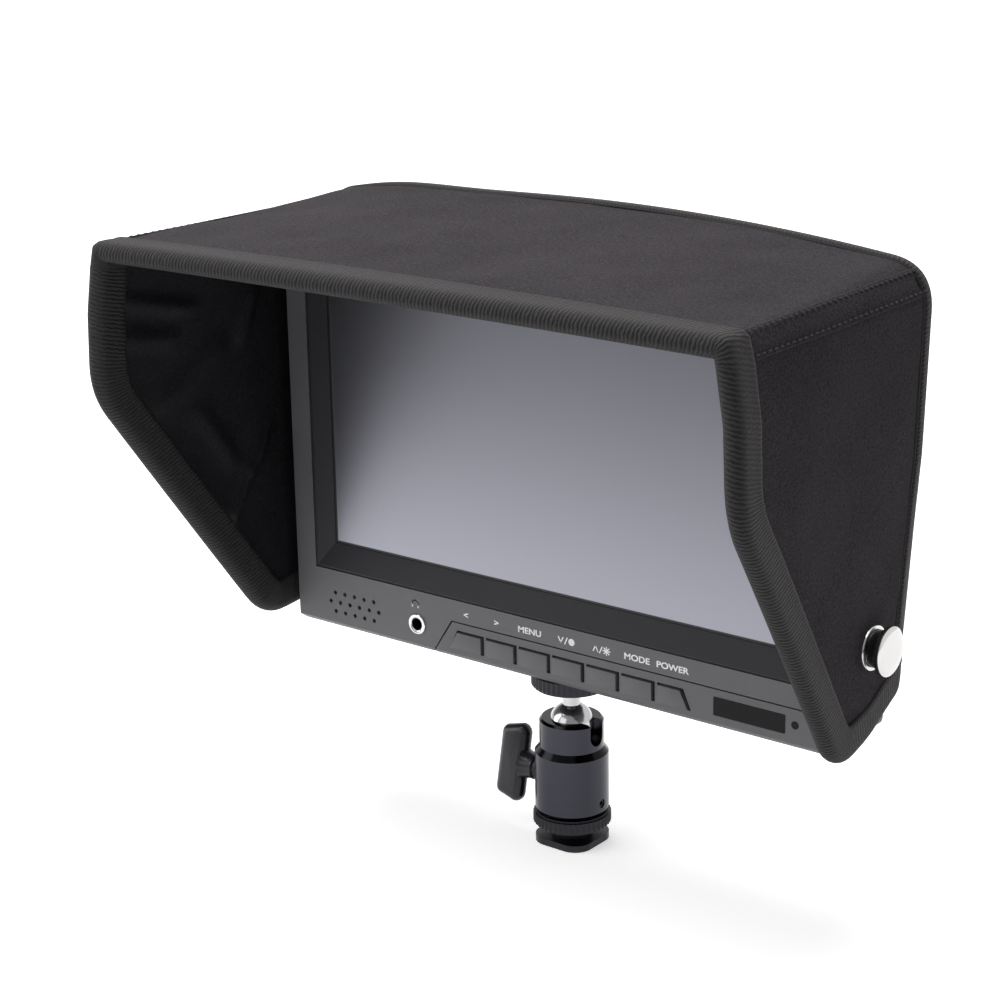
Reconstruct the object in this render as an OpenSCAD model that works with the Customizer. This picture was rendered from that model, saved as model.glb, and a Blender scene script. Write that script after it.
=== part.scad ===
// Seven inch camera field monitor with a sewn sun hood, on a mini ball head with an accessory-shoe foot.
// Origin: centre of the foot's underside. +Z up, the screen faces -Y, +X is to the viewer's right.

/* [Accessory shoe foot] */
// Side of the square foot plate
foot_w = 18.4; // [17.8:0.1:18.6]
// Corner radius of the foot plate
foot_r = 5.5; // [2:0.5:7]
// Thickness of the foot plate that slides under the shoe's rails
foot_t = 2; // [1.6:0.1:2.2]
// Diameter of the round neck between the shoe's rails
foot_neck_d = 12; // [9:0.5:12.4]
// Height of the neck, which clears the shoe's rails
foot_neck_h = 3.4; // [2.4:0.1:5]
// Thickness of the knurled lock ring
ring_t = 4.2; // [3:0.1:6]
// Diameter of the knurled lock ring
ring_d = 22.7; // [20:0.1:28]

/* [Ball head] */
// Diameter of the clamp barrel
barrel_d = 21.4; // [19:0.1:26]
// Height of the barrel up to its shoulder
barrel_h = 17.5; // [15:0.5:24]
// Diameter of the slotted collar that holds the ball
collar_d = 18.6; // [17.5:0.1:19.2]
// Height of the collar over the shoulder, with the shoulder's chamfer
collar_h = 10.3; // [9:0.1:13]
// Diameter of the ball
ball_d = 13; // [11:0.1:13.4]
// Height of the collar's rim above the centre of the ball
rim_rise = 2; // [1.4:0.1:2.6]
// Diameter of the neck between ball and lock disc
neck_d = 5.2; // [4:0.1:5.6]
// Free play of the neck in the drop slot, on each side
slot_play = 0.3; // [0.2:0.05:0.6]
// Diameter of the quarter inch threads of the foot and of the monitor's socket
stud_d = 6.35; // [6.2:0.05:6.6]
// Thickness of the knurled disc that locks the monitor
disc_t = 4.7; // [3:0.1:6]
// Diameter of the knurled disc that locks the monitor
disc_d = 23; // [18:0.5:26]
// Distance from the centre of the ball to the disc's underside
disc_lift = 11.8; // [11.5:0.1:15]
// Radial gap of every turning fit
turn_gap = 0.05; // [0.02:0.01:0.1]

/* [Clamp knob] */
// Diameter of the clamp screw
clamp_screw_d = 5; // [4:0.1:5.4]
// Length of the knob's wing, end to end
wing_l = 23.5; // [18:0.5:26]
// Width of the knob's wing, along the screw
wing_w = 9.6; // [7:0.1:12]
// Thickness of the knob's wing
wing_t = 4.8; // [3:0.1:6]
// Angle at which the wing stands off the vertical
wing_turn = 12; // [0:1:40]

/* [Monitor body] */
// Width of the body
body_w = 187.4; // [180:0.2:200]
// Height of the body
body_h = 121; // [118:0.5:140]
// Depth of the body
body_d = 30.5; // [28:0.5:36]
// Depth of the front shell, up to the parting line
front_d = 12; // [11:0.5:14]
// Wall thickness of both shells
wall = 2.2; // [1.6:0.1:2.6]
// Corner radius of the body, seen from the front
body_r = 4; // [2:0.5:6]
// Bevel of the front edges
bevel = 1.4; // [0.6:0.1:2]
// Bevel of the rear edges
rear_bevel = 5; // [2:0.5:6]
// Distance from the front face back to the axis of the ball head
socket_y = 13.2; // [12.5:0.1:17]

/* [Screen] */
// Distance from each side of the body to the lit area, 154.08 wide on a standard seven inch wide panel
screen_side = 16.66; // [14:0.02:18]
// Distance from the top of the body to the lit area, 85.92 high
screen_top = 8.08; // [7:0.02:10]
// Height of the lit area's lower edge above the underside of the body
lit_z = 27; // [26:0.1:30]
// Black border round the lit area
lit_border = 0.8; // [0.4:0.1:1.5]
// Depth of the screen behind the front face
screen_recess = 1.5; // [1.3:0.1:3]
// Width of the sloping bezel beside the screen
bezel_side = 7.6; // [6:0.1:9]
// Height of the sloping bezel under the screen
bezel_low = 8.8; // [7:0.1:10]
// Height of the sloping bezel over the screen
bezel_top = 5.2; // [4:0.1:6]
// Thickness of the bezel
bezel_t = 2.6; // [2.2:0.1:3]
// Width of the dark line left round the bezel and the key panel
groove = 0.4; // [0.2:0.05:0.8]
// Thickness of the display module
module_t = 5.7; // [4:0.1:6.5]
// Thickness of the display's glass
glass_t = 1.1; // [0.7:0.1:1.6]

/* [Keys] */
// Number of keys
key_n = 7; // [5:1:7]
// Distance from key to key
key_pitch = 11.8; // [11:0.1:12.4]
// Width of a key
key_w = 9.9; // [8:0.1:10]
// Height of a key
key_h = 5; // [4:0.1:5.4]
// Left edge of the first key, from the middle of the body
key_x = -31.9; // [-36:0.1:-28]
// Lower edge of the keys above the underside of the body
key_z = 3.2; // [3:0.1:3.6]
// Slant of the outer ends of the row
key_slant = 2.6; // [0:0.1:3]
// How far a key stands proud
key_proud = 0.5; // [0.2:0.1:0.9]
// Travel of a key
key_travel = 0.6; // [0.3:0.1:0.7]
// Height of the key panel
panel_h = 11; // [10.4:0.1:12]
// Left end of the key panel at its top edge
panel_x = -32.6; // [-38:0.2:-32.6]
// How much further left the panel reaches at the bottom
panel_slant = 8; // [4:0.5:10]

/* [Front details] */
// Distance between the speaker's holes
speaker_pitch = 3.78; // [3:0.02:4]
// Diameter of a speaker hole
speaker_hole_d = 1.3; // [0.8:0.1:1.8]
// Middle of the speaker's holes, from the left side of the body
speaker_left = 23.6; // [23:0.1:25]
// Height of the speaker's middle row
speaker_z = 7.9; // [7.4:0.1:9]
// Place of the headphone socket, from the middle of the body
jack_x = -45.8; // [-50:0.1:-44.8]
// Height of the headphone socket
jack_z = 7.6; // [7.2:0.1:9]
// Diameter of the socket's bright collar
jack_d = 6.1; // [5:0.1:7]
// Diameter of the socket's hole for a 3.5 mm plug
jack_bore_d = 3.6; // [3.54:0.02:3.7]
// Depth of the socket's hole
jack_depth = 14; // [10:0.5:16]
// Width of the blank plate at the lower right
plate_w = 22.2; // [15:0.1:26]
// Height of the blank plate
plate_h = 5.3; // [3:0.1:6]
// Middle of the blank plate, from the middle of the body
plate_x = 67.9; // [64:0.1:69]
// Height of the blank plate's middle
plate_z = 6.25; // [5:0.05:7.5]
// Place of the small sensor window
window_x = 82; // [81:0.1:86]
// Height of the sensor window
window_z = 6.7; // [4:0.1:8]
// Diameter of the sensor window
window_d = 2.2; // [1.5:0.1:3]

/* [Sun hood] */
// How far the brim reaches in front of the front face
brim_reach = 66; // [50:1:80]
// How far the side panels bulge in front of the brim
side_bulge = 3; // [0:0.5:5]
// Height of the kink in the side panel's front edge
kink_z = 82; // [70:1:90]
// Reach of the side panel at its lower end
low_reach = 14.5; // [10:0.5:24]
// Height of the lower front corner of the side panel
low_z = 6; // [4:0.5:12]
// Height of the side panel's lower edge above the underside of the body
hem_z = 2; // [1:0.5:3.5]
// Room between the body and the hood, above it and behind it
hood_room = 0.5; // [0.3:0.1:1.5]
// Room between the body and the foot of the side panels
side_room = 0.6; // [0.4:0.1:1.5]
// How much wider each side is at the top of the rear edge
rear_lean = 4.4; // [2:0.2:6]
// How much each side flares from rear to front at the hem
flare_low = 10; // [6:0.5:12]
// How much each side flares from rear to front at the kink
flare_kink = 5; // [3:0.5:8]
// How much each side flares from rear to front at the top
flare_top = 1.4; // [0.4:0.2:3]
// Rise of the top panel's middle over its sides at the brim
brim_crown = 1; // [0:0.2:3]
// Rise of the top panel's middle over its sides at the rear
rear_crown = 7; // [2:0.5:9]
// Thickness of the padded cover cloth
cover_t = 2; // [1.6:0.1:3]
// Thickness of the stiffening board in the top and sides
board_t = 0.6; // [0.4:0.1:1]
// Thickness of the nylon lining
lining_t = 0.4; // [0.3:0.1:0.6]
// Play between the layers of the hood
layer_gap = 0.1; // [0.08:0.01:0.2]
// Distance of the stiffening boards from the panels' edges
board_inset = 9; // [6:0.5:14]
// Depth of the binding in front of the panels' edges
binding_d = 3.2; // [2:0.1:5]
// Thickness of the bound edge
binding_t = 4.4; // [4:0.1:5.5]
// Height of the cable opening in the back panel
cable_h = 58; // [40:1:70]
// Width of the cable opening in the back panel
cable_w = 150; // [100:1:160]

/* [Inner pieces] */
// Width of the main board
board_w = 130; // [100:1:140]
// Height of the main board's lower edge above the underside of the body
board_low = 28; // [24:1:40]
// Distance from the top of the body to the main board
board_top = 15; // [12:1:24]
// Distance of the main board's screws from its edges
hole_in = 5; // [4:0.5:8]
// Width of the speaker's box
speaker_w = 21; // [20.4:0.1:22]
// Height of the speaker's box
speaker_h = 12; // [10:0.1:12.4]
// Depth of the speaker's box
speaker_t = 6; // [4:0.5:8]
// Width of the headphone socket's box
jack_w = 8; // [6.4:0.1:8.4]
// Height of the headphone socket's box
jack_h = 8; // [7.4:0.1:8.4]
// Height of the keys' circuit board
key_board_h = 11; // [8:0.1:11]
// Width of a key's switch
switch_w = 4.6; // [3:0.1:5]
// Distance of the power inlet from the left side of the body
dc_left = 31.7; // [28:0.1:36]
// Place of the video inlet, from the middle of the body
hdmi_x = -38; // [-40:0.5:-30]
// Height of the middle of the rear sockets
port_z = 14; // [13.5:0.5:20]
// Outer diameter of the round video and sound sockets
av_d = 6.4; // [5:0.1:8]
// Depth of the round sockets
av_depth = 10; // [8:0.5:11]
// Distance from the top of the body to the lowest vent slot
vent_top = 59; // [50:1:70]
/* [Hood screws] */
// Distance of the hood screws behind the front face
screw_y = 7.7; // [6.6:0.1:8]
// Height of the hood screws above the underside of the body
screw_z = 29.8; // [24:0.1:40]
// Diameter of the hood screws' thread
screw_d = 4; // [3:0.5:5]
// Diameter of the hood screws' polished heads
head_d = 15; // [12:0.5:18]
// Thickness of the polished heads
head_t = 2.4; // [1.6:0.1:3]
// Distance from the eyelet to the polished head
head_lift = 3.2; // [2.4:0.1:5]
// Outer diameter of the eyelets
eyelet_d = 13; // [10:0.5:16]

/* [Hidden] */
$fn = 48;

// Heights of the ball head, from the foot's underside up
ring_z = foot_t + foot_neck_h;
barrel_z = ring_z + ring_t + 0.7;
shoulder_z = barrel_z + barrel_h;
collar_top = shoulder_z + collar_h;
ball_z = collar_top - rim_rise;
disc_z = ball_z + disc_lift;
body_z = disc_z + disc_t + 0.2;
knob_z = barrel_z + barrel_h / 2;
ball_r = ball_d / 2;
stud_in = 5.2;

// Places of the monitor's inner pieces
lit_w = body_w - 2 * screen_side;
lit_h = body_h - lit_z - screen_top;
speaker_x = speaker_left - body_w / 2;
dc_x = dc_left - body_w / 2;
av_x = [34, 46, 58];
board_h = body_h - board_low - board_top;
board_edge = board_low + board_h;
board_holes = [for (x = [-1, 1], z = [board_low + hole_in, board_edge - hole_in])
    [x * (board_w / 2 - hole_in), z]];
bezel_w = lit_w + 2 * bezel_side;
bezel_h = lit_h + bezel_low + bezel_top;
bezel_z = lit_z - bezel_low;
lens_w = lit_w + 2 * lit_border;
lens_h = lit_h + 2 * lit_border;
module_w = bezel_w - 4.3;
module_h = bezel_h - 0.4;
module_z = bezel_z + 0.2;
module_back = screen_recess + module_t;
board_y = module_back + 6;
key_back = wall + 0.9;
switch_y = key_back + key_travel + 0.1;
switch_t = 1.6;
boss_d = 7;
boss_x = body_w / 2 - 8;
low_boss_z = 6.5;
high_boss_z = body_h - 7.5;

// Hood surfaces: half width of the outside and height of the top, over the monitor's own frame
hood_t = cover_t + board_t + lining_t + 2 * layer_gap;
board_on = cover_t + layer_gap;
lining_on = hood_t - lining_t;
side_x = body_w / 2 + side_room + hood_t - 1.4;
rear_y = body_d + hood_room + cover_t;
top_z = body_h + hood_room + hood_t;
hood_l = rear_y + brim_reach;
function flare(z) = lookup(z, [[hem_z, flare_low], [kink_z, flare_kink], [top_z, flare_top]]);
function out_x(y, z) = side_x + rear_lean * z / top_z + flare(z) * (rear_y - y) / hood_l;
function crown(y) = brim_crown + (rear_crown - brim_crown) * (y + brim_reach) / hood_l;
function out_z(x, y) = top_z + crown(y) * (1 - pow(x / out_x(y, top_z), 2));
function edge_y(z) = lookup(z, [[hem_z, -low_reach + 7], [low_z, -low_reach],
    [kink_z, -brim_reach - side_bulge / 2],
    [(kink_z + top_z) / 2, -brim_reach - side_bulge], [top_z, -brim_reach]]);
side_top = top_z - cover_t - layer_gap;
side_rows = concat([hem_z, (hem_z + low_z) / 2, low_z],
    [for (i = [1:6]) low_z + (kink_z - low_z) * i / 6],
    [for (i = [1:4]) kink_z + (side_top - kink_z) * i / 4]);

module at_monitor() {
    translate([0, -socket_y, body_z]) children();
}

// A plate that stands upright: centred on x, from height z up, from depth y back
module plate(w, h, t, r, x, y, z) {
    translate([x, y + t, z]) rotate([90, 0, 0]) linear_extrude(t) rounded(w, h, r);
}

module rounded(w, h, r) {
    translate([-w / 2 + r, 0]) square([w - 2 * r, h]);
    translate([-w / 2, r]) square([w, h - 2 * r]);
    for (x = [-w / 2 + r, w / 2 - r], z = [r, h - r]) translate([x, z]) circle(r);
}

module along_y(x, y, z, d, l) {
    translate([x, y, z]) rotate([-90, 0, 0]) cylinder(d = d, h = l);
}

module along_x(x, y, z, d, l) {
    translate([x, y, z]) rotate([0, 90, 0]) cylinder(d = d, h = l);
}

// Knurled disc with a bore: a plain core with a band of teeth round it
module knurled(d, t, bore, teeth) {
    edge = [for (i = [0:2 * teeth - 1]) let (r = d / 2 - (i % 2 == 0 ? 0 : 0.35), a = 180 * i / teeth)
        [r * cos(a), r * sin(a)]];
    difference() {
        union() {
            translate([0, 0, 0.6]) linear_extrude(t - 1.2) polygon(edge);
            cylinder(d = d - 1.4, h = t);
        }
        translate([0, 0, -1]) cylinder(r = bore, h = t + 2);
    }
}

// Ball head

module shoe_foot() {
    color("#1c1c1e") {
        translate([0, -foot_w / 2, 0]) linear_extrude(foot_t) rounded(foot_w, foot_w, foot_r);
        translate([0, 0, foot_t - 0.2]) cylinder(d = foot_neck_d, h = foot_neck_h);
        translate([0, 0, foot_t]) cylinder(d = stud_d, h = barrel_z + stud_in - foot_t);
    }
}

module shoe_lock_ring() {
    color("#232326") translate([0, 0, ring_z]) knurled(ring_d, ring_t, stud_d / 2 + turn_gap, 44);
}

module head_barrel() {
    color("#2b2b30") difference() {
        rotate_extrude($fn = 96) polygon([[0, barrel_z], [barrel_d / 2 - 0.5, barrel_z],
            [barrel_d / 2, barrel_z + 0.5], [barrel_d / 2, shoulder_z],
            [collar_d / 2 + 0.3, shoulder_z + 1.4],
            [collar_d / 2, shoulder_z + 1.8], [collar_d / 2, collar_top - 0.7],
            [collar_d / 2 - 0.7, collar_top], [0, collar_top]]);
        translate([0, 0, ball_z]) sphere(r = ball_r + turn_gap, $fn = 96);
        translate([0, 0, barrel_z - 1]) cylinder(r = stud_d / 2 + turn_gap, h = stud_in + 1.4);
        translate([0, 0, knob_z - clamp_screw_d / 2 - 0.3])
            cylinder(d = plunger_d + 0.1, h = ball_z - knob_z);
        along_x(-barrel_d, 0, knob_z, clamp_screw_d + 2 * turn_gap, barrel_d);
        along_x(stud_d / 2 - 1, 0, grub_z, grub_d + 2 * turn_gap, barrel_d);
        along_x(0, 0, ball_z - slot_drop, neck_d + 2 * slot_play, barrel_d);
        translate([0, -neck_d / 2 - slot_play, ball_z - slot_drop])
            cube([barrel_d, neck_d + 2 * slot_play, 30]);
    }
}
plunger_d = 8.8;
slot_drop = 2.2;
grub_d = 2.6;
grub_z = barrel_z + 3.2;

module clamp_plunger() {
    low = knob_z + clamp_screw_d / 2 + 0.1;
    color("#b0b0b4") difference() {
        translate([0, 0, low]) cylinder(d = plunger_d, h = ball_z - ball_r / 2 - low);
        translate([0, 0, ball_z]) sphere(r = ball_r + turn_gap, $fn = 96);
    }
}

module grub_screw() {
    color("#151517") difference() {
        along_x(stud_d / 2 + 0.05, 0, grub_z, grub_d, barrel_d / 2 - stud_d / 2 - 0.4);
        along_x(barrel_d / 2 - 1.6, 0, grub_z, 1.4, 3);
    }
}

knob_hub_d = 7.6;
knob_hub_l = 4.6;
knob_x = -barrel_d / 2 - 1.7;
wing_x = knob_x - knob_hub_l - wing_w / 2 + 0.8;

module wing_knob() {
    color("#17181b") translate([0, 0, knob_z]) rotate([-wing_turn, 0, 0]) difference() {
        union() {
            along_x(knob_x - knob_hub_l, 0, 0, knob_hub_d, knob_hub_l);
            hull() for (s = [-1, 1], k = [[-1, 2.4, 1.2], [1, 2.9, 0]])
                translate([wing_x + k[0] * (wing_w / 2 - k[1]), wing_t / 2, s * (wing_l / 2 - k[1] - k[2])])
                    rotate([90, 0, 0]) cylinder(r = k[1], h = wing_t, $fn = 32);
        }
        along_x(knob_x - knob_hub_l - 2, 0, 0, clamp_screw_d + 0.02, 20);
    }
}

module knob_screw() {
    color("silver") {
        along_x(knob_x - knob_hub_l - 2, 0, knob_z, clamp_screw_d, knob_hub_l + 2 - knob_x - 1.4);
        along_x(knob_x + 0.1, 0, knob_z, clamp_screw_d + 1.6, 1.4);
    }
}

module head_ball() {
    color("gainsboro") translate([0, 0, ball_z]) sphere(r = ball_r, $fn = 96);
}

module stud_neck() {
    color("gainsboro") difference() {
        union() {
            translate([0, 0, ball_z + 4]) cylinder(d = neck_d, h = disc_lift - 4);
            translate([0, 0, disc_z]) cylinder(d = stud_d, h = disc_t + 0.2 + socket_depth - 0.6);
        }
        translate([0, 0, ball_z]) sphere(r = ball_r + 0.03, $fn = 96);
    }
}
socket_depth = 6;

module top_lock_disc() {
    color("#2b2b30") translate([0, 0, disc_z]) knurled(disc_d, disc_t, stud_d / 2 + turn_gap, 44);
}

// Monitor shells

// Outside of both shells with bevelled front and rear edges
module body_block() {
    far = 300;
    intersection() {
        plate(body_w, body_h, body_d, body_r, 0, 0, 0);
        translate([0, 0, -far / 2]) linear_extrude(far) polygon([[-body_w / 2 + bevel, 0],
            [body_w / 2 - bevel, 0], [body_w / 2, bevel], [body_w / 2, body_d - rear_bevel],
            [body_w / 2 - rear_bevel, body_d], [-body_w / 2 + rear_bevel, body_d],
            [-body_w / 2, body_d - rear_bevel], [-body_w / 2, bevel]]);
        translate([-far / 2, 0, 0]) rotate([90, 0, 90]) linear_extrude(far) polygon([[0, bevel], [bevel, 0],
            [body_d - rear_bevel, 0], [body_d, rear_bevel], [body_d, body_h - rear_bevel],
            [body_d - rear_bevel, body_h], [bevel, body_h], [0, body_h - bevel]]);
    }
}

// Inside of the shells, from depth a to depth b
module hollow(a, b) {
    plate(body_w - 2 * wall, body_h - 2 * wall, b - a, body_r - 1, 0, a, wall);
}

module panel_outline(grow) {
    polygon([[panel_x - grow, panel_h + grow], [body_w / 2 + 1, panel_h + grow], [body_w / 2 + 1, -1],
        [panel_x - panel_slant - grow, -1]]);
}

module panel_block(grow, t) {
    translate([0, t, 0]) rotate([90, 0, 0]) linear_extrude(t + 1) panel_outline(grow);
}

module boss(x, z) {
    difference() {
        along_y(x, module_back + 0.4, z, boss_d, front_d - module_back - 0.4);
        along_y(x, module_back, z, 2.4, front_d);
    }
}

module bosses() {
    for (s = [-1, 1]) {
        boss(s * (boss_x - 0.5), low_boss_z);
        boss(s * (boss_x - 0.5), high_boss_z);
    }
}

module front_frame() {
    color("#5c5c61") at_monitor() difference() {
        union() {
            difference() {
                intersection() {
                    body_block();
                    translate([-150, 0, -1]) cube([300, front_d, 300]);
                }
                hollow(wall + 1, front_d + 1);
            }
            intersection() {
                bosses();
                hollow(0, front_d);
            }
            for (s = [-1, 1])
                along_x(s > 0 ? insert_in - 1 : -body_w / 2 + 1, screw_y, screw_z, insert_d + 2.4,
                    body_w / 2 - insert_in);
        }
        translate([-bezel_w / 2 - groove, -1, bezel_z - groove])
            cube([bezel_w + 2 * groove, wall + 3, bezel_h + 2 * groove]);
        panel_block(groove, wall + 2);
        for (row = [-1, 0, 1], i = [0:5 - abs(row)])
            along_y(speaker_x + speaker_pitch * (i - 2.5 + abs(row) / 2), -1, speaker_z + row * 2.95,
                speaker_hole_d, 8);
        along_y(jack_x, -1, jack_z, jack_d + 0.1, 8);
        for (s = [-1, 1]) along_x(s > 0 ? insert_in - 2 : -body_w / 2 - 2, screw_y, screw_z, insert_d + 0.02,
            body_w / 2 - insert_in + 4);
        translate([0, socket_y, -1]) cylinder(d = socket_d + 0.05, h = 12);
    }
}
insert_d = 6;
insert_in = module_w / 2 + 2;
socket_d = 10;

module screen_bezel() {
    far = 400;
    seat = screen_recess - 0.2;
    color("#47474d") at_monitor() difference() {
        plate(bezel_w, bezel_h, bezel_t, 0.8, 0, 0, bezel_z);
        intersection() {
            translate([0, 0, -far / 2]) linear_extrude(far) polygon([[-bezel_w / 2 + 0.6, -0.01],
                [bezel_w / 2 - 0.6, -0.01], [lens_w / 2, seat], [lens_w / 2, 5], [-lens_w / 2, 5],
                [-lens_w / 2, seat]]);
            translate([-far / 2, 0, 0]) rotate([90, 0, 90]) linear_extrude(far) polygon([
                [-0.01, bezel_z + 0.6], [seat, lit_z - lit_border], [5, lit_z - lit_border],
                [5, lit_z + lit_h + lit_border], [seat, lit_z + lit_h + lit_border],
                [-0.01, bezel_z + bezel_h - 0.6]]);
        }
        plate(module_w + 0.4, module_h - 1, 5, 0.5, 0, screen_recess, module_z + 0.5);
    }
}

module key_panel() {
    color("#55555a") at_monitor() difference() {
        intersection() {
            body_block();
            panel_block(0, wall);
        }
        for (k = [0:key_n - 1]) translate([0, 6, 0]) rotate([90, 0, 0]) linear_extrude(8)
            key_outline(k, 0.25, 0.9, 0.2, 0.6);
        plate(plate_w + 0.1, plate_h + 0.1, 1.5, 0.3, plate_x, -1, plate_z - plate_h / 2 - 0.05);
        along_y(window_x, -1, window_z, window_d + 0.1, 8);
    }
}

module rear_cover() {
    color("#4a4a4f") at_monitor() difference() {
        intersection() {
            body_block();
            translate([-150, front_d, -1]) cube([300, body_d, 300]);
        }
        hollow(front_d - 1, body_d - wall);
        for (s = [-1, 1], z = [low_boss_z, high_boss_z]) {
            along_y(s * (boss_x - 0.5), front_d, z, 3.2, body_d);
            along_y(s * (boss_x - 0.5), body_d - 1.9, z, 6, 4);
        }
        for (i = [0:8]) plate(52, 2, 6, 0.9, 0, body_d - 4, body_h - vent_top + 5 * i);
        plate(9.4, 7.4, 8, 0.5, dc_x, body_d - 5, port_z - 3.7);
        plate(15.4, 6, 8, 1, hdmi_x, body_d - 5, port_z - 3);
        for (x = av_x) along_y(x, body_d - 5, port_z, av_d + 0.2, 8);
        translate([0, socket_y, -1]) cylinder(d = socket_d + 0.05, h = 12);
    }
}

module lcd_glass() {
    color("#9a9aa5") at_monitor()
        plate(module_w - 3, module_h - 3, glass_t, 0.5, 0, screen_recess, module_z + 1.5);
}

module lcd_module() {
    color("#8d8f92") at_monitor() difference() {
        plate(module_w, module_h - 1.2, module_t, 0.5, 0, screen_recess, module_z + 0.6);
        plate(module_w - 3, module_h - 3, glass_t + 1, 0.5, 0, screen_recess - 1, module_z + 1.5);
    }
}

module main_board() {
    color("#1f5a38") at_monitor() difference() {
        union() {
            plate(board_w, board_h, 1.6, 2, 0, board_y, board_low);
            translate([-50, board_y + 1.6, board_edge - 26]) cube([16, 3, 16]);
            translate([-10, board_y + 1.6, board_edge - 36]) cube([22, 2, 22]);
            for (x = [30, 42, 54]) along_y(x, board_y + 1.6, board_edge - 16, 8, 8);
        }
        for (p = board_holes) along_y(p[0], board_y - 1, p[1], 3.2, 4);
    }
}

module board_screws() {
    color("silver") at_monitor() for (p = board_holes) {
        along_y(p[0], module_back, p[1], 3, board_y - module_back + 1.7);
        along_y(p[0], board_y + 1.6, p[1], 5.5, 1.6);
    }
}

module key_board() {
    color("#1f5a38") at_monitor()
        plate(key_n * key_pitch + 6, key_board_h, 1.2, 0.5, key_x + key_n * key_pitch / 2,
            switch_y + switch_t, wall + 0.3);
}

module key_switches() {
    color("#c9c9c2") at_monitor() for (k = [0:key_n - 1])
        plate(switch_w, switch_w, switch_t, 0.4, key_x + key_w / 2 + k * key_pitch, switch_y,
            key_z + key_h / 2 - switch_w / 2);
}

module speaker() {
    color("#222222") at_monitor() difference() {
        plate(speaker_w, speaker_h, speaker_t, 3, speaker_x, wall + 1.1, wall + 0.2);
        along_y(speaker_x, wall, speaker_z, 8, 2.4);
    }
}

module headphone_jack() {
    color("gainsboro") at_monitor() difference() {
        union() {
            along_y(jack_x, -0.25, jack_z, jack_d, 4);
            plate(jack_w, jack_h, jack_depth - 2, 0.6, jack_x, wall + 1.1, wall + 0.2);
        }
        along_y(jack_x, -1, jack_z, jack_bore_d, jack_depth + 1);
    }
}

module name_plate() {
    color("#101012") at_monitor() plate(plate_w, plate_h, 0.6, 0.3, plate_x, -0.1, plate_z - plate_h / 2);
}

module sensor_window() {
    color("#0c0c0e") at_monitor() along_y(window_x, 0.1, window_z, window_d, wall + 1);
}

module tripod_socket() {
    color("#b79a5a") at_monitor() translate([0, socket_y, 0]) difference() {
        union() {
            cylinder(d = socket_d, h = socket_depth + 4);
            translate([0, 0, wall]) cylinder(d = socket_d + 2.6, h = 2);
        }
        translate([0, 0, -1]) cylinder(r = stud_d / 2 + turn_gap, h = socket_depth + 1);
    }
}

module side_inserts() {
    color("#b79a5a") at_monitor() for (s = [-1, 1]) difference() {
        along_x(s > 0 ? insert_in : -body_w / 2, screw_y, screw_z, insert_d, body_w / 2 - insert_in);
        along_x(s > 0 ? insert_in + 1 : -body_w / 2 - 1, screw_y, screw_z, screw_d + 2 * turn_gap,
            body_w / 2 - insert_in);
    }
}

module case_screws() {
    color("#2a2a2c") at_monitor() for (s = [-1, 1], z = [low_boss_z, high_boss_z]) {
        along_y(s * (boss_x - 0.5), front_d - 3, z, 2.4, body_d - front_d + 1.2);
        along_y(s * (boss_x - 0.5), body_d - 1.9, z, 5.6, 1.5);
    }
}

module dc_socket() {
    color("#1a1a1a") at_monitor() difference() {
        plate(9, 7, body_d - board_y - 2, 0.4, dc_x, board_y + 1.7, port_z - 3.5);
        along_y(dc_x, body_d - 8, port_z, 5.6, 9);
    }
}

module hdmi_socket() {
    color("silver") at_monitor() difference() {
        plate(15, 5.6, body_d - board_y - 2, 0.9, hdmi_x, board_y + 1.7, port_z - 2.8);
        plate(14, 4.6, 9, 0.6, hdmi_x, body_d - 8, port_z - 2.3);
    }
}

module av_sockets() {
    color("#1a1a1a") at_monitor() for (x = av_x) difference() {
        along_y(x, board_y + 1.7, port_z, av_d, body_d - board_y - 1.9);
        along_y(x, body_d - av_depth, port_z, jack_bore_d, av_depth + 1);
    }
}

// Keys

// Outline of key k, grown by its play on the left, right, lower and upper side
module key_outline(k, left, right, low, high) {
    x = key_x + k * key_pitch;
    a = k == 0 ? key_slant / 2 : 0;
    b = k == key_n - 1 ? key_slant : 0;
    polygon([[x - left - a, key_z - low], [x + key_w + right, key_z - low],
        [x + key_w + right - b, key_z + key_h + high], [x - left + a, key_z + key_h + high]]);
}

module key(k) {
    color("#5e5e63") at_monitor() {
        translate([0, wall, 0]) rotate([90, 0, 0]) linear_extrude(wall + key_proud)
            key_outline(k, 0, 0, 0, 0);
        translate([0, key_back, 0]) rotate([90, 0, 0]) linear_extrude(key_back - wall - 0.1)
            key_outline(k, 0.4, 1.1, 0.4, 0.9);
        along_y(key_x + key_w / 2 + k * key_pitch, wall - 0.2, key_z + key_h / 2, 3, 0.5);
    }
}
module key_1() { key(0); }
module key_2() { key(1); }
module key_3() { key(2); }
module key_4() { key(3); }
module key_5() { key(4); }
module key_6() { key(5); }
module key_7() { key(6); }

// Sun hood

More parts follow.
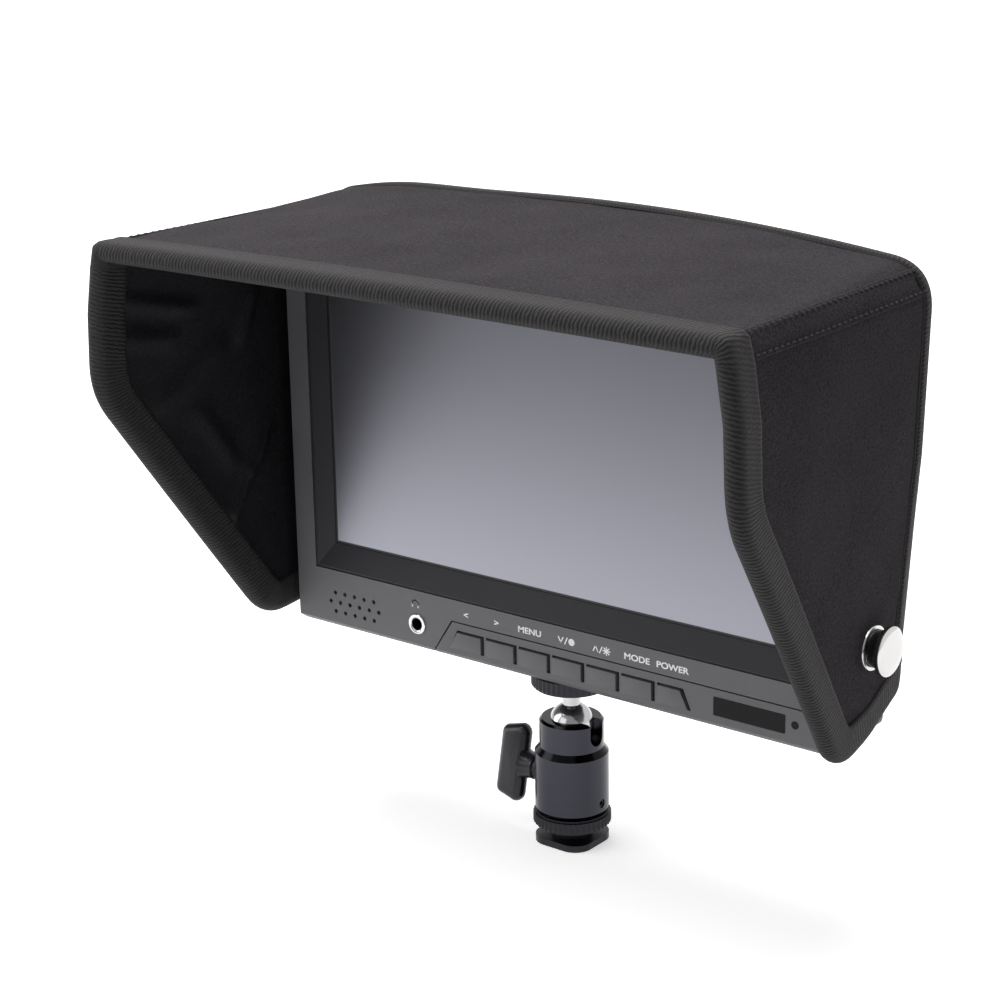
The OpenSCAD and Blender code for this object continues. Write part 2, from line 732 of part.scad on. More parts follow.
// Closed sheet between two grids of points, each given by rows
module sheet(a, b) {
    n = len(a);
    m = len(a[0]);
    pts = concat([for (r = a) each r], [for (r = b) each r]);
    o = n * m;
    faces = concat(
        [for (i = [0:n - 2], j = [0:m - 2]) each [[i * m + j, i * m + j + 1, (i + 1) * m + j + 1],
            [i * m + j, (i + 1) * m + j + 1, (i + 1) * m + j]]],
        [for (i = [0:n - 2], j = [0:m - 2]) each [[o + i * m + j, o + (i + 1) * m + j + 1, o + i * m + j + 1],
            [o + i * m + j, o + (i + 1) * m + j, o + (i + 1) * m + j + 1]]],
        [for (i = [0:n - 2])
            each [[i * m, (i + 1) * m, o + (i + 1) * m], [i * m, o + (i + 1) * m, o + i * m]]],
        [for (i = [0:n - 2]) let (k = m - 1) each [[i * m + k, o + (i + 1) * m + k, (i + 1) * m + k],
            [i * m + k, o + i * m + k, o + (i + 1) * m + k]]],
        [for (j = [0:m - 2]) each [[j, o + j + 1, j + 1], [j, o + j, o + j + 1]]],
        [for (j = [0:m - 2]) let (q = (n - 1) * m) each [[q + j, q + j + 1, o + q + j + 1],
            [q + j, o + q + j + 1, o + q + j]]]);
    polyhedron(pts, faces, convexity = 6);
}

// Layer of a side panel between depths d0 and d1 under its outside, drawn in by inset at its edges
module side_layer(d0, d1, inset) {
    cols = 6;
    share = (side_top - hem_z - 2 * inset) / (side_top - hem_z);
    rows = [for (z = side_rows) hem_z + inset + (z - hem_z) * share];
    front = [for (z = rows) edge_y(z) + binding_d + inset * (z < kink_z ? 1.3 : 1)];
    back = rear_y - cover_t - inset;
    grid = function (d) [for (i = [0:len(rows) - 1]) [for (j = [0:cols])
        let (y = front[i] + (back - front[i]) * j / cols)
        [out_x(y, rows[i]) - d, y, rows[i]]]];
    sheet(grid(d0), grid(d1));
}

// Layer of the top panel between depths d0 and d1 under its outside, drawn in by inset all round, by over at
// its sides and by rear at the back
module top_layer(d0, d1, inset, over, rear) {
    cols = 20;
    rows = 8;
    first = -brim_reach + binding_d + inset;
    last = rear_y - inset - rear;
    grid = function (d) [for (i = [0:rows]) let (y = first + (last - first) * i / rows,
        w = out_x(y, top_z) - inset - over) [for (j = [0:cols]) let (x = -w + 2 * w * j / cols)
            [x, y, out_z(x, y) - d]]];
    sheet(grid(d0), grid(d1));
}

module right_side(d0, d1, inset) {
    at_monitor() side_layer(d0, d1, inset);
}

module left_side(d0, d1, inset) {
    mirror([1, 0, 0]) right_side(d0, d1, inset);
}

module hole_for_screw(s) {
    at_monitor() mirror([s > 0 ? 0 : 1, 0, 0]) {
        along_x(body_w / 2 - 3, screw_y, screw_z, eyelet_bore, 23);
        along_x(eyelet_x + 0.2, screw_y, screw_z, eyelet_d + 0.2, 5);
    }
}
eyelet_bore = 7.4;

module hood_top() {
    color("#4a474c") at_monitor() top_layer(0, cover_t, 0, 0, 0);
}

module hood_left() {
    color("#2c292d") difference() {
        left_side(0, cover_t, 0);
        hole_for_screw(-1);
    }
}

module hood_right() {
    color("#2c292d") difference() {
        right_side(0, cover_t, 0);
        hole_for_screw(1);
    }
}

module hood_back() {
    w = out_x(rear_y, top_z);
    n = 16;
    top = [for (i = [0:n]) let (x = w - 2 * w * i / n) [x, out_z(x, rear_y) - board_on]];
    color("#2c292d") at_monitor() translate([0, rear_y, 0]) rotate([90, 0, 0]) linear_extrude(cover_t)
        polygon(concat([[-side_x + 0.1, hem_z], [-cable_w / 2, hem_z], [-cable_w / 2, cable_h],
            [cable_w / 2, cable_h], [cable_w / 2, hem_z], [side_x - 0.1, hem_z]], top));
}

module top_lining() {
    color("#1b1a1c") at_monitor() top_layer(lining_on, hood_t, 0, hood_t + 0.3, board_on);
}

module left_lining() {
    color("#1b1a1c") difference() {
        left_side(lining_on, hood_t, 0);
        hole_for_screw(-1);
    }
}

module right_lining() {
    color("#1b1a1c") difference() {
        right_side(lining_on, hood_t, 0);
        hole_for_screw(1);
    }
}

module top_board() {
    color("#d8d8d4") at_monitor() top_layer(board_on, board_on + board_t, board_inset, 0, 0);
}

module left_board() {
    color("#d8d8d4") difference() {
        left_side(board_on, board_on + board_t, board_inset);
        hole_for_screw(-1);
    }
}

module right_board() {
    color("#d8d8d4") difference() {
        right_side(board_on, board_on + board_t, board_inset);
        hole_for_screw(1);
    }
}

// Binding strip down the front edge of a side panel
bind_out = (binding_t - hood_t) / 2;
bind_in = bind_out - binding_t;

module side_binding() {
    strip = function (d) [for (row = side_rows) let (z = min(row, top_z + bind_in - 0.05), y = edge_y(z))
        [[out_x(y, z) + d, y, z], [out_x(y, z) + d, y + binding_d, z]]];
    at_monitor() sheet(strip(bind_out), strip(bind_in));
}

module left_binding() {
    color("#3a3739") mirror([1, 0, 0]) side_binding();
}

module right_binding() {
    color("#3a3739") side_binding();
}

// Binding strip across the brim, over the upper ends of both side strips
module brim_binding() {
    steps = 20;
    w = out_x(-brim_reach, top_z);
    strip = function (d) [for (i = [0:steps]) let (x = (w + bind_out) * (2 * i / steps - 1),
        z = out_z(min(abs(x), w), -brim_reach) + d) [[x, -brim_reach, z], [x, -brim_reach + binding_d, z]]];
    color("#3a3739") at_monitor() sheet(strip(bind_in), strip(bind_out));
}

// Bound lower edge of both side panels
hem_t = 1.4;

module hem_binding() {
    first = edge_y(hem_z);
    last = rear_y - cover_t;
    strip = function (d) [for (i = [0:5]) let (y = first + (last - first) * i / 5)
        [[out_x(y, hem_z) + d, y, hem_z - hem_t], [out_x(y, hem_z) + d, y, hem_z]]];
    color("#3a3739") at_monitor() for (s = [0, 1]) mirror([s, 0, 0]) sheet(strip(bind_out), strip(-hood_t));
}

// Hood screws and eyelets
eyelet_x = out_x(screw_y, screw_z);

module eyelets() {
    color("silver") at_monitor() for (s = [0, 1]) mirror([s, 0, 0]) difference() {
        union() {
            along_x(eyelet_x - hood_t - 0.5, screw_y, screw_z, eyelet_bore - 0.1, hood_t + 1);
            along_x(eyelet_x + 0.25, screw_y, screw_z, eyelet_d, 0.7);
        }
        along_x(body_w / 2 - 4, screw_y, screw_z, eyelet_bore - 1.6, 20);
    }
}

module thumbscrew() {
    tip = insert_in + 2;
    head_x = eyelet_x + 0.95 + head_lift;
    color("gainsboro") at_monitor() {
        along_x(tip, screw_y, screw_z, screw_d, head_x - tip);
        along_x(head_x, screw_y, screw_z, head_d, head_t);
    }
    color("#161618") at_monitor()
        along_x(eyelet_x + 1.25, screw_y, screw_z, eyelet_d - 3, head_x - eyelet_x - 1.25);
}

module thumbscrew_right() { thumbscrew(); }
module thumbscrew_left() { mirror([1, 0, 0]) thumbscrew(); }

shoe_foot();
shoe_lock_ring();
head_barrel();
clamp_plunger();
grub_screw();
wing_knob();
knob_screw();
head_ball();
stud_neck();
top_lock_disc();
front_frame();
screen_bezel();
key_panel();
rear_cover();
lcd_glass();
lcd_module();
main_board();
key_board();
key_switches();
speaker();
headphone_jack();
name_plate();
sensor_window();
tripod_socket();
side_inserts();
case_screws();
board_screws();
dc_socket();
hdmi_socket();
av_sockets();
key_1();
key_2();
key_3();
key_4();
key_5();
key_6();
key_7();
hood_top();
hood_left();
hood_right();
hood_back();
top_lining();
left_lining();
right_lining();
top_board();
left_board();
right_board();
left_binding();
right_binding();
brim_binding();
hem_binding();
eyelets();
thumbscrew_left();
thumbscrew_right();
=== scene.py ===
import math

import bmesh
import bpy
import numpy as np
from mathutils import Matrix, Vector, noise


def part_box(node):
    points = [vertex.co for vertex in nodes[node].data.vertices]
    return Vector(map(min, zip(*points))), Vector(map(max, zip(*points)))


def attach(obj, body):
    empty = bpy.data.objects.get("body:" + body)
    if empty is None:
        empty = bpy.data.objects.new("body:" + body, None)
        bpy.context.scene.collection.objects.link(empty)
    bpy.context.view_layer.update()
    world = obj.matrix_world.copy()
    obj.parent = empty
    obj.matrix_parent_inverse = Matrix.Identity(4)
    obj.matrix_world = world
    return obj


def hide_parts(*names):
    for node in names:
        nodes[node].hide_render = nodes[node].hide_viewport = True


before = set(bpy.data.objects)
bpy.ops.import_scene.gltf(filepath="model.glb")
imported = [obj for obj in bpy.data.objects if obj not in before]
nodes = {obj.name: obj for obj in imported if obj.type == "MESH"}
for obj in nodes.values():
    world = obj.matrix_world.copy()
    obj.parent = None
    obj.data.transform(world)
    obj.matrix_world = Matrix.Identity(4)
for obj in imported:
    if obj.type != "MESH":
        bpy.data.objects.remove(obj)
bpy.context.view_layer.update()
MM = 0.001

# Studio. A pale floor that runs to white, a white surround and broad soft lamps above and to the left,
# seen by a camera at the photograph's angle. Angles are degrees and places are millimetres.
view_azimuth = 38.255
view_elevation = 17.168
view_roll = 1.0
view_place = Vector((375.9, -507.9, 298.3)) * MM
focal_pixels = 2368.5
frame_pixels = 1001
film_w = 36

azimuth, elevation, roll = (math.radians(a) for a in (view_azimuth, view_elevation, view_roll))
backward = Vector((math.sin(azimuth) * math.cos(elevation), -math.cos(azimuth) * math.cos(elevation),
                   math.sin(elevation)))
level_right = (-backward).cross(Vector((0, 0, 1))).normalized()
level_down = (-backward).cross(level_right)
right = level_right * math.cos(roll) + level_down * math.sin(roll)
down = level_down * math.cos(roll) - level_right * math.sin(roll)
camera_data = bpy.data.cameras.new("camera")
camera_data.sensor_width = film_w
camera_data.lens = focal_pixels / frame_pixels * film_w
camera_data.clip_start = 0.05
camera_data.clip_end = 20
camera = bpy.data.objects.new("camera", camera_data)
bpy.context.scene.collection.objects.link(camera)
turn = Matrix((right, -down, backward)).transposed().to_4x4()
camera.matrix_world = Matrix.Translation(view_place) @ turn
bpy.context.scene.camera = camera
bpy.context.scene.view_settings.view_transform = "Standard"


def new_material(name):
    mat = bpy.data.materials.new(name)
    mat.use_nodes = True
    tree = mat.node_tree
    return mat, tree, tree.nodes["Principled BSDF"]


def add_lamp(name, place, size, power):
    data = bpy.data.lights.new(name, "AREA")
    data.shape = "RECTANGLE"
    data.size, data.size_y = size
    data.energy = power
    lamp = bpy.data.objects.new(name, data)
    bpy.context.scene.collection.objects.link(lamp)
    lamp.location = place
    lamp.rotation_euler = (lamp_aim - Vector(place)).to_track_quat("-Z", "Y").to_euler()


lamp_aim = Vector((0, 0, 0.1))
add_lamp("lamp_top", (-0.25, -0.1, 1.15), (1.2, 1.0), 17)
add_lamp("lamp_left", (-1.1, -0.75, 0.55), (0.7, 1.0), 7)
add_lamp("lamp_front", (-0.35, -1.5, 0.7), (1.0, 0.8), 3)


def math_node(tree, operation, a, b=None, clamp=False):
    """Math node whose two values are sockets or numbers."""
    node = tree.nodes.new("ShaderNodeMath")
    node.operation = operation
    node.use_clamp = clamp
    for socket, value in zip(node.inputs, (a, b)):
        if isinstance(value, (int, float)):
            socket.default_value = value
        elif value is not None:
            tree.links.new(value, socket)
    return node.outputs[0]


def map_range(tree, value, low, high, to_low, to_high):
    node = tree.nodes.new("ShaderNodeMapRange")
    node.inputs["From Min"].default_value = low
    node.inputs["From Max"].default_value = high
    node.inputs["To Min"].default_value = to_low
    node.inputs["To Max"].default_value = to_high
    tree.links.new(value, node.inputs["Value"])
    return node.outputs["Result"]


def place_socket(tree, output, axis):
    """One axis of a kind of texture coordinate, such as Object."""
    split = tree.nodes.new("ShaderNodeSeparateXYZ")
    tree.links.new(tree.nodes.new("ShaderNodeTexCoord").outputs[output], split.inputs[0])
    return split.outputs[axis]


def white_to_rays(tree, front, path):
    """How much a ray sees white: all of it for the camera and through glass, and as much as front says for gloss.
    Puts out the gloss share by itself too."""
    mirrored = math_node(tree, "MULTIPLY", front, path.outputs["Is Glossy Ray"])
    seen = math_node(tree, "MAXIMUM", path.outputs["Is Camera Ray"], mirrored)
    return math_node(tree, "MAXIMUM", seen, path.outputs["Is Transmission Ray"]), mirrored


fill_light = 0.24
world = bpy.data.worlds.new("surround")
world.use_nodes = True
bpy.context.scene.world = world
tree = world.node_tree
surround = tree.nodes["Background"]
path = tree.nodes.new("ShaderNodeLightPath")
front = map_range(tree, place_socket(tree, "Generated", "Y"), -0.5, 0.2, 0.2, 1.0)
seen, mirrored = white_to_rays(tree, front, path)
tree.links.new(map_range(tree, seen, 0, 1, fill_light, 1.0), surround.inputs["Strength"])
surround.inputs["Color"].default_value = (1, 1, 1, 1)

# Floor. A matte white table top. Its glow grows from glow_near beside the object, where the shadow shows, to
# plain white further out. Mirrored in the screen it falls dark in front, as a table does that ends there.
floor_half, floor_drop = 6.0, 0.0002
glow_near, near_reach, far_reach = 0.55, 0.3, 1.2
table_end, table_full = -0.42, -0.2
table_white, room_dark = 0.8, 0.08
floor_mesh = bpy.data.meshes.new("floor")
floor_mesh.from_pydata([(x * floor_half, y * floor_half, 0) for x, y in ((-1, -1), (1, -1), (1, 1), (-1, 1))], [],
                       [(0, 1, 2, 3)])
floor = bpy.data.objects.new("floor", floor_mesh)
bpy.context.scene.collection.objects.link(floor)
floor.location.z = -floor_drop
floor_white, tree, shader = new_material("floor_white")
shader.inputs["Roughness"].default_value = 0.8
path = tree.nodes.new("ShaderNodeLightPath")
far_away = tree.nodes.new("ShaderNodeVectorMath")
far_away.operation = "LENGTH"
tree.links.new(tree.nodes.new("ShaderNodeTexCoord").outputs["Object"], far_away.inputs[0])
glow = map_range(tree, far_away.outputs["Value"], near_reach, far_reach, glow_near, 1.0)
front = map_range(tree, place_socket(tree, "Object", "Y"), table_end, table_full, 0.0, 1.0)
seen, mirrored = white_to_rays(tree, front, path)
beyond = math_node(tree, "SUBTRACT", path.outputs["Is Glossy Ray"], mirrored)
tree.links.new(map_range(tree, beyond, 0, 1, table_white, room_dark), shader.inputs["Base Color"])
tree.links.new(math_node(tree, "MULTIPLY", seen, glow), shader.inputs["Emission Strength"])
shader.inputs["Emission Color"].default_value = (1, 1, 1, 1)
floor_mesh.materials.append(floor_white)

# Hood cover. Padded charcoal laminate sewn to one tent: two flaring sides, an arched top and a back with a
# cable opening. Places on it are worked out in the monitor's own frame, in millimetres: x from the middle,
# y back from the front face, z up from the underside. In the flattened cloth v runs round it from side to side.
body_low, body_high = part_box("front_frame")
rear_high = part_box("rear_cover")[1]
body_w = (body_high.x - body_low.x) / MM
body_h = (body_high.z - body_low.z) / MM
body_d = (rear_high.y - body_low.y) / MM
front_y = body_low.y
base_z = body_low.z
cover_t, board_t, lining_t, layer_gap = 2.0, 0.6, 0.4, 0.1
hood_t = cover_t + board_t + lining_t + 2 * layer_gap
hood_room, side_room = 0.5, 0.6
brim_reach, hem_rear_z, kink_z = 66.0, 12.5, 82.0
rear_y = body_d + hood_room + cover_t
top_z = body_h + hood_room + hood_t
hood_l = rear_y + brim_reach
side_foot_in, side_lean = 1.4, 4.4
side_x = body_w / 2 + side_room + hood_t - side_foot_in
fold_v = 100.0
flare_z = [2, 40, 82, 105, 124.7]
flare_x = [10, 8.6, 7.2, 5.4, 1.4]
crown_front, crown_growth = 0.5, 6.5
puff_x, puff_width, puff_height = -76, 26, 2.2
top_round_r, round_share = 3.0, 0.96
fold_front_r, fold_growth = 4, 7
rear_round_z = [8, 30, 58, 76]
rear_round_r = [9.6, 7.4, 4.9, 2.6]


def at_monitor(x, y, z):
    return Vector((x * MM, front_y + y * MM, base_z + z * MM))


def fold_r(y):
    """Radius of the fold between top and side: tight at the brim, loose at the rear."""
    return fold_front_r + fold_growth * max((y + brim_reach) / hood_l, 0) ** 1.3


def fold_q(y):
    return fold_r(y) * math.pi / 4


def rounded_in(y, r):
    """How far the outside has curved in at y, towards a rear edge of radius r."""
    d = min(max(y - (rear_y - r), 0), round_share * r)
    return r - math.sqrt(r * r - d * d)


def side_out(y, z):
    x = side_x + side_lean * z / top_z + float(np.interp(z, flare_z, flare_x)) * (rear_y - y) / hood_l
    return x - rounded_in(y, float(np.interp(z, rear_round_z, rear_round_r)))


def top_out(x, y):
    w = side_out(y, top_z)
    back = (y + brim_reach) / hood_l
    crown = crown_front + crown_growth * back
    puff = puff_height * math.exp(-((x - puff_x) / puff_width) ** 2) * max(back, 0) ** 2
    return top_z + crown * (1 - (x / w) ** 2) + puff - rounded_in(y, top_round_r)


def hood_place(v, y, depth=0.0):
    """Place at v round the cloth and y back, depth under the outside."""
    side = 1 if v >= 0 else -1
    a = abs(v)
    r, q = fold_r(y), fold_q(y)
    inner_r = max(r - depth, 0.6)
    low = top_z - depth - inner_r
    if a > fold_v + q:
        down = a - fold_v - q
        z = top_z - r - down
        z += (low - (top_z - r)) * max(0, 1 - down / 8)
        return Vector((side * (side_out(y, z) - depth), y, z))
    w = side_out(y, low) - depth
    if a < fold_v - q:
        x = side * (w - inner_r) * a / (fold_v - q)
        return Vector((x, y, top_out(x, y) - depth))
    t = (a - fold_v + q) / (2 * q)
    x0 = side * (w - inner_r)
    z0 = top_out(x0, y) - depth
    slope = (z0 - (top_out(side * (w - inner_r - 0.5), y) - depth)) / 0.5
    p0, p1, p2 = Vector((x0, y, z0)), Vector((side * w, y, z0 + slope * inner_r)), Vector((side * w, y, low))
    return p0 * (1 - t) ** 2 + p1 * 2 * t * (1 - t) + p2 * t * t


def v_of(y, z):
    return fold_v + fold_q(y) + top_z - fold_r(y) - z


def rounded_path(points, cuts, step):
    """Polyline whose corners are eased over the given lengths, in steps of about the given size."""
    points = [Vector(p) for p in points]
    dense = [points[0]]
    for a, b, c, cut in zip(points, points[1:], points[2:], cuts):
        p, q = b + (a - b).normalized() * cut, b + (c - b).normalized() * cut
        for i in range(9):
            t = i / 8
            dense.append(p * (1 - t) ** 2 + b * 2 * t * (1 - t) + q * t * t)
    dense.append(points[-1])
    out = [dense[0]]
    for a, b in zip(dense, dense[1:]):
        n = max(1, round((b - a).length / step))
        out += [a + (b - a) * (i + 1) / n for i in range(n)]
    return out


side_edge = rounded_path(
    [(rear_y, hem_rear_z), (21, 9), (9, 4.2), (-9.5, 1.6), (-66.3, kink_z), (-brim_reach, 118)],
    [5, 5, 9, 9], 1.5)
side_path = [Vector((v_of(y, z), y)) for y, z in side_edge]
brim_v = [fold_v * (1 - 2 * i / 130) for i in range(131)]
brim_path = [Vector((v, -brim_reach)) for v in brim_v]
edge_path = side_path + [p for p in brim_path if abs(p.x) < side_path[-1].x - 0.5] \
    + [Vector((-p.x, p.y)) for p in reversed(side_path)]
side_count = len(side_path)
rear_low = v_of(rear_y, hem_rear_z)


def path_inward(path):
    inward = []
    for i in range(len(path)):
        t = (path[min(i + 2, len(path) - 1)] - path[max(i - 2, 0)]).normalized()
        inward.append(Vector((t.y, -t.x)))
    return inward


edge_in = path_inward(edge_path)
if edge_in[len(edge_in) // 2].y < 0:
    edge_in = [-d for d in edge_in]
lengths = [0.0]
for a, b in zip(side_path, side_path[1:]):
    lengths.append(lengths[-1] + (b - a).length)
rear_path = []
for i, p in enumerate(edge_path):
    k = min(i, len(edge_path) - 1 - i)
    if k < side_count:
        share = lengths[k] / lengths[-1]
        top_v = side_path[-1].x
        v = rear_low + (top_v - rear_low) * share
        rear_path.append(Vector((v if i < len(edge_path) / 2 else -v, rear_y)))
    else:
        rear_path.append(Vector((p.x, rear_y)))


def make_mesh(name, verts, faces, mat, smooth=True):
    mesh = bpy.data.meshes.new(name)
    mesh.from_pydata([tuple(v) for v in verts], [], faces)
    mesh.materials.append(mat)
    mesh.polygons.foreach_set("use_smooth", [smooth] * len(mesh.polygons))
    obj = bpy.data.objects.new(name, mesh)
    bpy.context.scene.collection.objects.link(obj)
    return obj


def fix_normals(obj, sharp_angle=None, merge=2e-6):
    work = bmesh.new()
    work.from_mesh(obj.data)
    bmesh.ops.remove_doubles(work, verts=work.verts, dist=merge)
    bmesh.ops.dissolve_degenerate(work, edges=work.edges, dist=1e-7)
    bmesh.ops.recalc_face_normals(work, faces=work.faces)
    work.to_mesh(obj.data)
    work.free()
    if sharp_angle:
        obj.data.set_sharp_from_angle(angle=math.radians(sharp_angle))
    return obj


def shell_between(name, outer, inner, mat):
    """Closed shell between two grids of points with the same rows and columns."""
    rows, cols = len(outer), len(outer[0])
    verts = [p for row in outer for p in row] + [p for row in inner for p in row]
    k = rows * cols
    faces = []
    for start, step in ((0, 1), (k, -1)):
        for i in range(rows - 1):
            for j in range(cols - 1):
                a = start + i * cols + j
                faces.append((a, a + 1, a + cols + 1, a + cols)[::step])
    for i in range(rows - 1):
        for j in (0, cols - 1):
            faces.append((i * cols + j, (i + 1) * cols + j, k + (i + 1) * cols + j, k + i * cols + j))
    for j in range(cols - 1):
        for i in (0, rows - 1):
            faces.append((i * cols + j, i * cols + j + 1, k + i * cols + j + 1, k + i * cols + j))
    return fix_normals(make_mesh(name, verts, faces, mat))


def cloth_rows(edge_reach, rear_back, spacing):
    """Flattened places from the edge (moved in by edge_reach) to the rear (moved forward by rear_back)."""
    rows = []
    for f in spacing:
        row = []
        for p, d, r in zip(edge_path, edge_in, rear_path):
            a, b = p + d * edge_reach, Vector((r.x, r.y - rear_back))
            if b.y - a.y < 0.5:
                a = Vector((a.x, b.y - 0.5))
            row.append(a + (b - a) * f)
        rows.append(row)
    return rows


def soft(p, amount, seed):
    """Slow unevenness of stretched cloth."""
    broad = noise.noise(p * 0.028 + Vector((seed, 0, 0)))
    fine = noise.noise(p * 0.07 + Vector((0, seed, 0)))
    return amount * (broad + 0.4 * fine)


def new_group(name, inputs, outputs):
    group = bpy.data.node_groups.new(name, "ShaderNodeTree")
    for label, kind, value in inputs:
        socket = group.interface.new_socket(label, in_out="INPUT", socket_type=kind)
        socket.default_value = value
    for label, kind in outputs:
        group.interface.new_socket(label, in_out="OUTPUT", socket_type=kind)
    return group, group.nodes.new("NodeGroupInput"), group.nodes.new("NodeGroupOutput")


def noise_node(tree, scale, detail, vector):
    node = tree.nodes.new("ShaderNodeTexNoise")
    if isinstance(scale, (int, float)):
        node.inputs["Scale"].default_value = scale
    else:
        tree.links.new(scale, node.inputs["Scale"])
    node.inputs["Detail"].default_value = detail
    tree.links.new(vector, node.inputs["Vector"])
    return node


def mix_color(tree, factor, a, b):
    node = tree.nodes.new("ShaderNodeMix")
    node.data_type = "RGBA"
    tree.links.new(factor, node.inputs[0])
    for socket, value in ((node.inputs[6], a), (node.inputs[7], b)):
        if isinstance(value, tuple):
            socket.default_value = value
        else:
            tree.links.new(value, socket)
    return node.outputs[2]


def bump_normal(tree, height, distance, strength):
    node = tree.nodes.new("ShaderNodeBump")
    node.inputs["Distance"].default_value = distance
    tree.links.new(height, node.inputs["Height"])
    if isinstance(strength, float):
        node.inputs["Strength"].default_value = strength
    else:
        tree.links.new(strength, node.inputs["Strength"])
    return node.outputs[0]


# The cloth's face: a fine two-tone fibre speckle over a slow unevenness, matte with a little sheen.
cloth_fibre, given, out = new_group(
    "cloth_fibre",
    [("Dark", "NodeSocketColor", (0.02, 0.02, 0.02, 1)), ("Light", "NodeSocketColor", (0.08, 0.08, 0.08, 1)),
     ("Fibre Scale", "NodeSocketFloat", 1500.0), ("Depth", "NodeSocketFloat", 0.5)],
    [("Color", "NodeSocketColor"), ("Normal", "NodeSocketVector")])
tree = cloth_fibre
place = tree.nodes.new("ShaderNodeTexCoord").outputs["Object"]
fibre = noise_node(tree, given.outputs["Fibre Scale"], 3, place)
fibre.inputs["Roughness"].default_value = 0.7
slow = noise_node(tree, 30, 3, place)
mask = map_range(tree, fibre.outputs["Fac"], 0.35, 0.68, 0, 1)
lift = map_range(tree, slow.outputs["Fac"], 0.3, 0.7, -0.1, 0.1)
color = mix_color(tree, math_node(tree, "ADD", mask, lift, clamp=True), given.outputs["Dark"], given.outputs["Light"])
tree.links.new(color, out.inputs["Color"])
tree.links.new(bump_normal(tree, fibre.outputs["Fac"], 0.00025, given.outputs["Depth"]), out.inputs["Normal"])


def cloth(name, dark, light, scale, depth, roughness, sheen):
    mat, tree, shader = new_material(name)
    fibre = tree.nodes.new("ShaderNodeGroup")
    fibre.node_tree = cloth_fibre
    fibre.inputs["Dark"].default_value = (*dark, 1)
    fibre.inputs["Light"].default_value = (*light, 1)
    fibre.inputs["Fibre Scale"].default_value = scale
    fibre.inputs["Depth"].default_value = depth
    tree.links.new(fibre.outputs["Color"], shader.inputs["Base Color"])
    tree.links.new(fibre.outputs["Normal"], shader.inputs["Normal"])
    shader.inputs["Roughness"].default_value = roughness
    shader.inputs["Sheen Weight"].default_value = sheen
    shader.inputs["Sheen Roughness"].default_value = 0.4
    shader.inputs["Specular IOR Level"].default_value = 0.12
    return mat


hood_cloth = cloth("hood_cloth", (0.012, 0.010, 0.012), (0.05, 0.044, 0.05), 1700, 0.6, 0.9, 0.03)

rear_from = 0.86
cover_steps = [i / 26 * rear_from for i in range(27)]
cover_steps += [rear_from + (1 - rear_from) * (i + 1) / 22 for i in range(22)]
cover_rows = cloth_rows(2.2, 0, cover_steps)
outer, inner = [], []
for f, row in zip(cover_steps, cover_rows):
    hold = min(1, f / 0.15) * min(1, (1 - f) / 0.1)
    outer.append([at_monitor(*hood_place(v, y, -hold * soft(hood_place(v, y), 0.75, 3.1))) for v, y in row])
    inner.append([at_monitor(*hood_place(v, y, cover_t)) for v, y in row])
hood_cover = shell_between("hood_cover", outer, inner, hood_cloth)
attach(hood_cover, "monitor")
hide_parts("hood_top", "hood_left", "hood_right")

# Hood back panel. One flat piece of the same cloth, sewn into the rear edge of the cover. A wide opening in it
# lets the cables through and is open at the hem.
cable_w, cable_h = 150.0, 58.0
back_t, back_gap = 1.8, 0.2
outline = [hood_place(p.x, rear_y - 0.4, 0.4) for p in rear_path]
opening = [(-cable_w / 2, hem_rear_z), (-cable_w / 2, cable_h), (cable_w / 2, cable_h), (cable_w / 2, hem_rear_z)]


def piece_of(work, name, mat):
    mesh = bpy.data.meshes.new(name)
    work.to_mesh(mesh)
    work.free()
    mesh.materials.append(mat)
    obj = bpy.data.objects.new(name, mesh)
    bpy.context.scene.collection.objects.link(obj)
    return obj


work = bmesh.new()
rings = []
for depth in (0, back_t):
    ring = [work.verts.new(at_monitor(p.x, rear_y - back_gap - depth, p.z)) for p in outline]
    ring += [work.verts.new(at_monitor(x, rear_y - back_gap - depth, z)) for x, z in opening]
    work.faces.new(ring)
    rings.append(ring)
for i in range(len(rings[0])):
    j = (i + 1) % len(rings[0])
    work.faces.new((rings[0][i], rings[0][j], rings[1][j], rings[1][i]))
bmesh.ops.recalc_face_normals(work, faces=work.faces)
bmesh.ops.triangulate(work, faces=[f for f in work.faces if len(f.verts) > 4])
hood_back_panel = piece_of(work, "hood_back_panel", hood_cloth)
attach(hood_back_panel, "monitor")
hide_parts("hood_back")

# Stiffening boards. Thin white plastic sheets between cover and lining keep the top and the sides flat. They
# lie loose, hidden by both, and stop short of every seam.
board_on = cover_t + layer_gap
board_margin, board_low_v, board_rear, brim_margin = 14, 205, 20, 12
side_front_z, side_front_y = [2, kink_z, top_z], [2, -54, -54]

# Fine pitted grain with a faint unevenness of shade and gloss, shared by plastics and metals.
moulded_grain, given, out = new_group(
    "moulded_grain",
    [("Color", "NodeSocketColor", (0.1, 0.1, 0.1, 1)), ("Roughness", "NodeSocketFloat", 0.5),
     ("Grain Scale", "NodeSocketFloat", 2600.0), ("Grain Depth", "NodeSocketFloat", 0.12)],
    [("Color", "NodeSocketColor"), ("Roughness", "NodeSocketFloat"), ("Normal", "NodeSocketVector")])
tree = moulded_grain
place = tree.nodes.new("ShaderNodeTexCoord").outputs["Object"]
pits = noise_node(tree, given.outputs["Grain Scale"], 2, place)
cloud = noise_node(tree, 38, 4, place)
tint = tree.nodes.new("ShaderNodeVectorMath")
tint.operation = "SCALE"
tree.links.new(given.outputs["Color"], tint.inputs[0])
tree.links.new(map_range(tree, cloud.outputs["Fac"], 0.3, 0.7, 0.9, 1.08), tint.inputs["Scale"])
tree.links.new(tint.outputs[0], out.inputs["Color"])
wear = map_range(tree, cloud.outputs["Fac"], 0.3, 0.7, -0.05, 0.05)
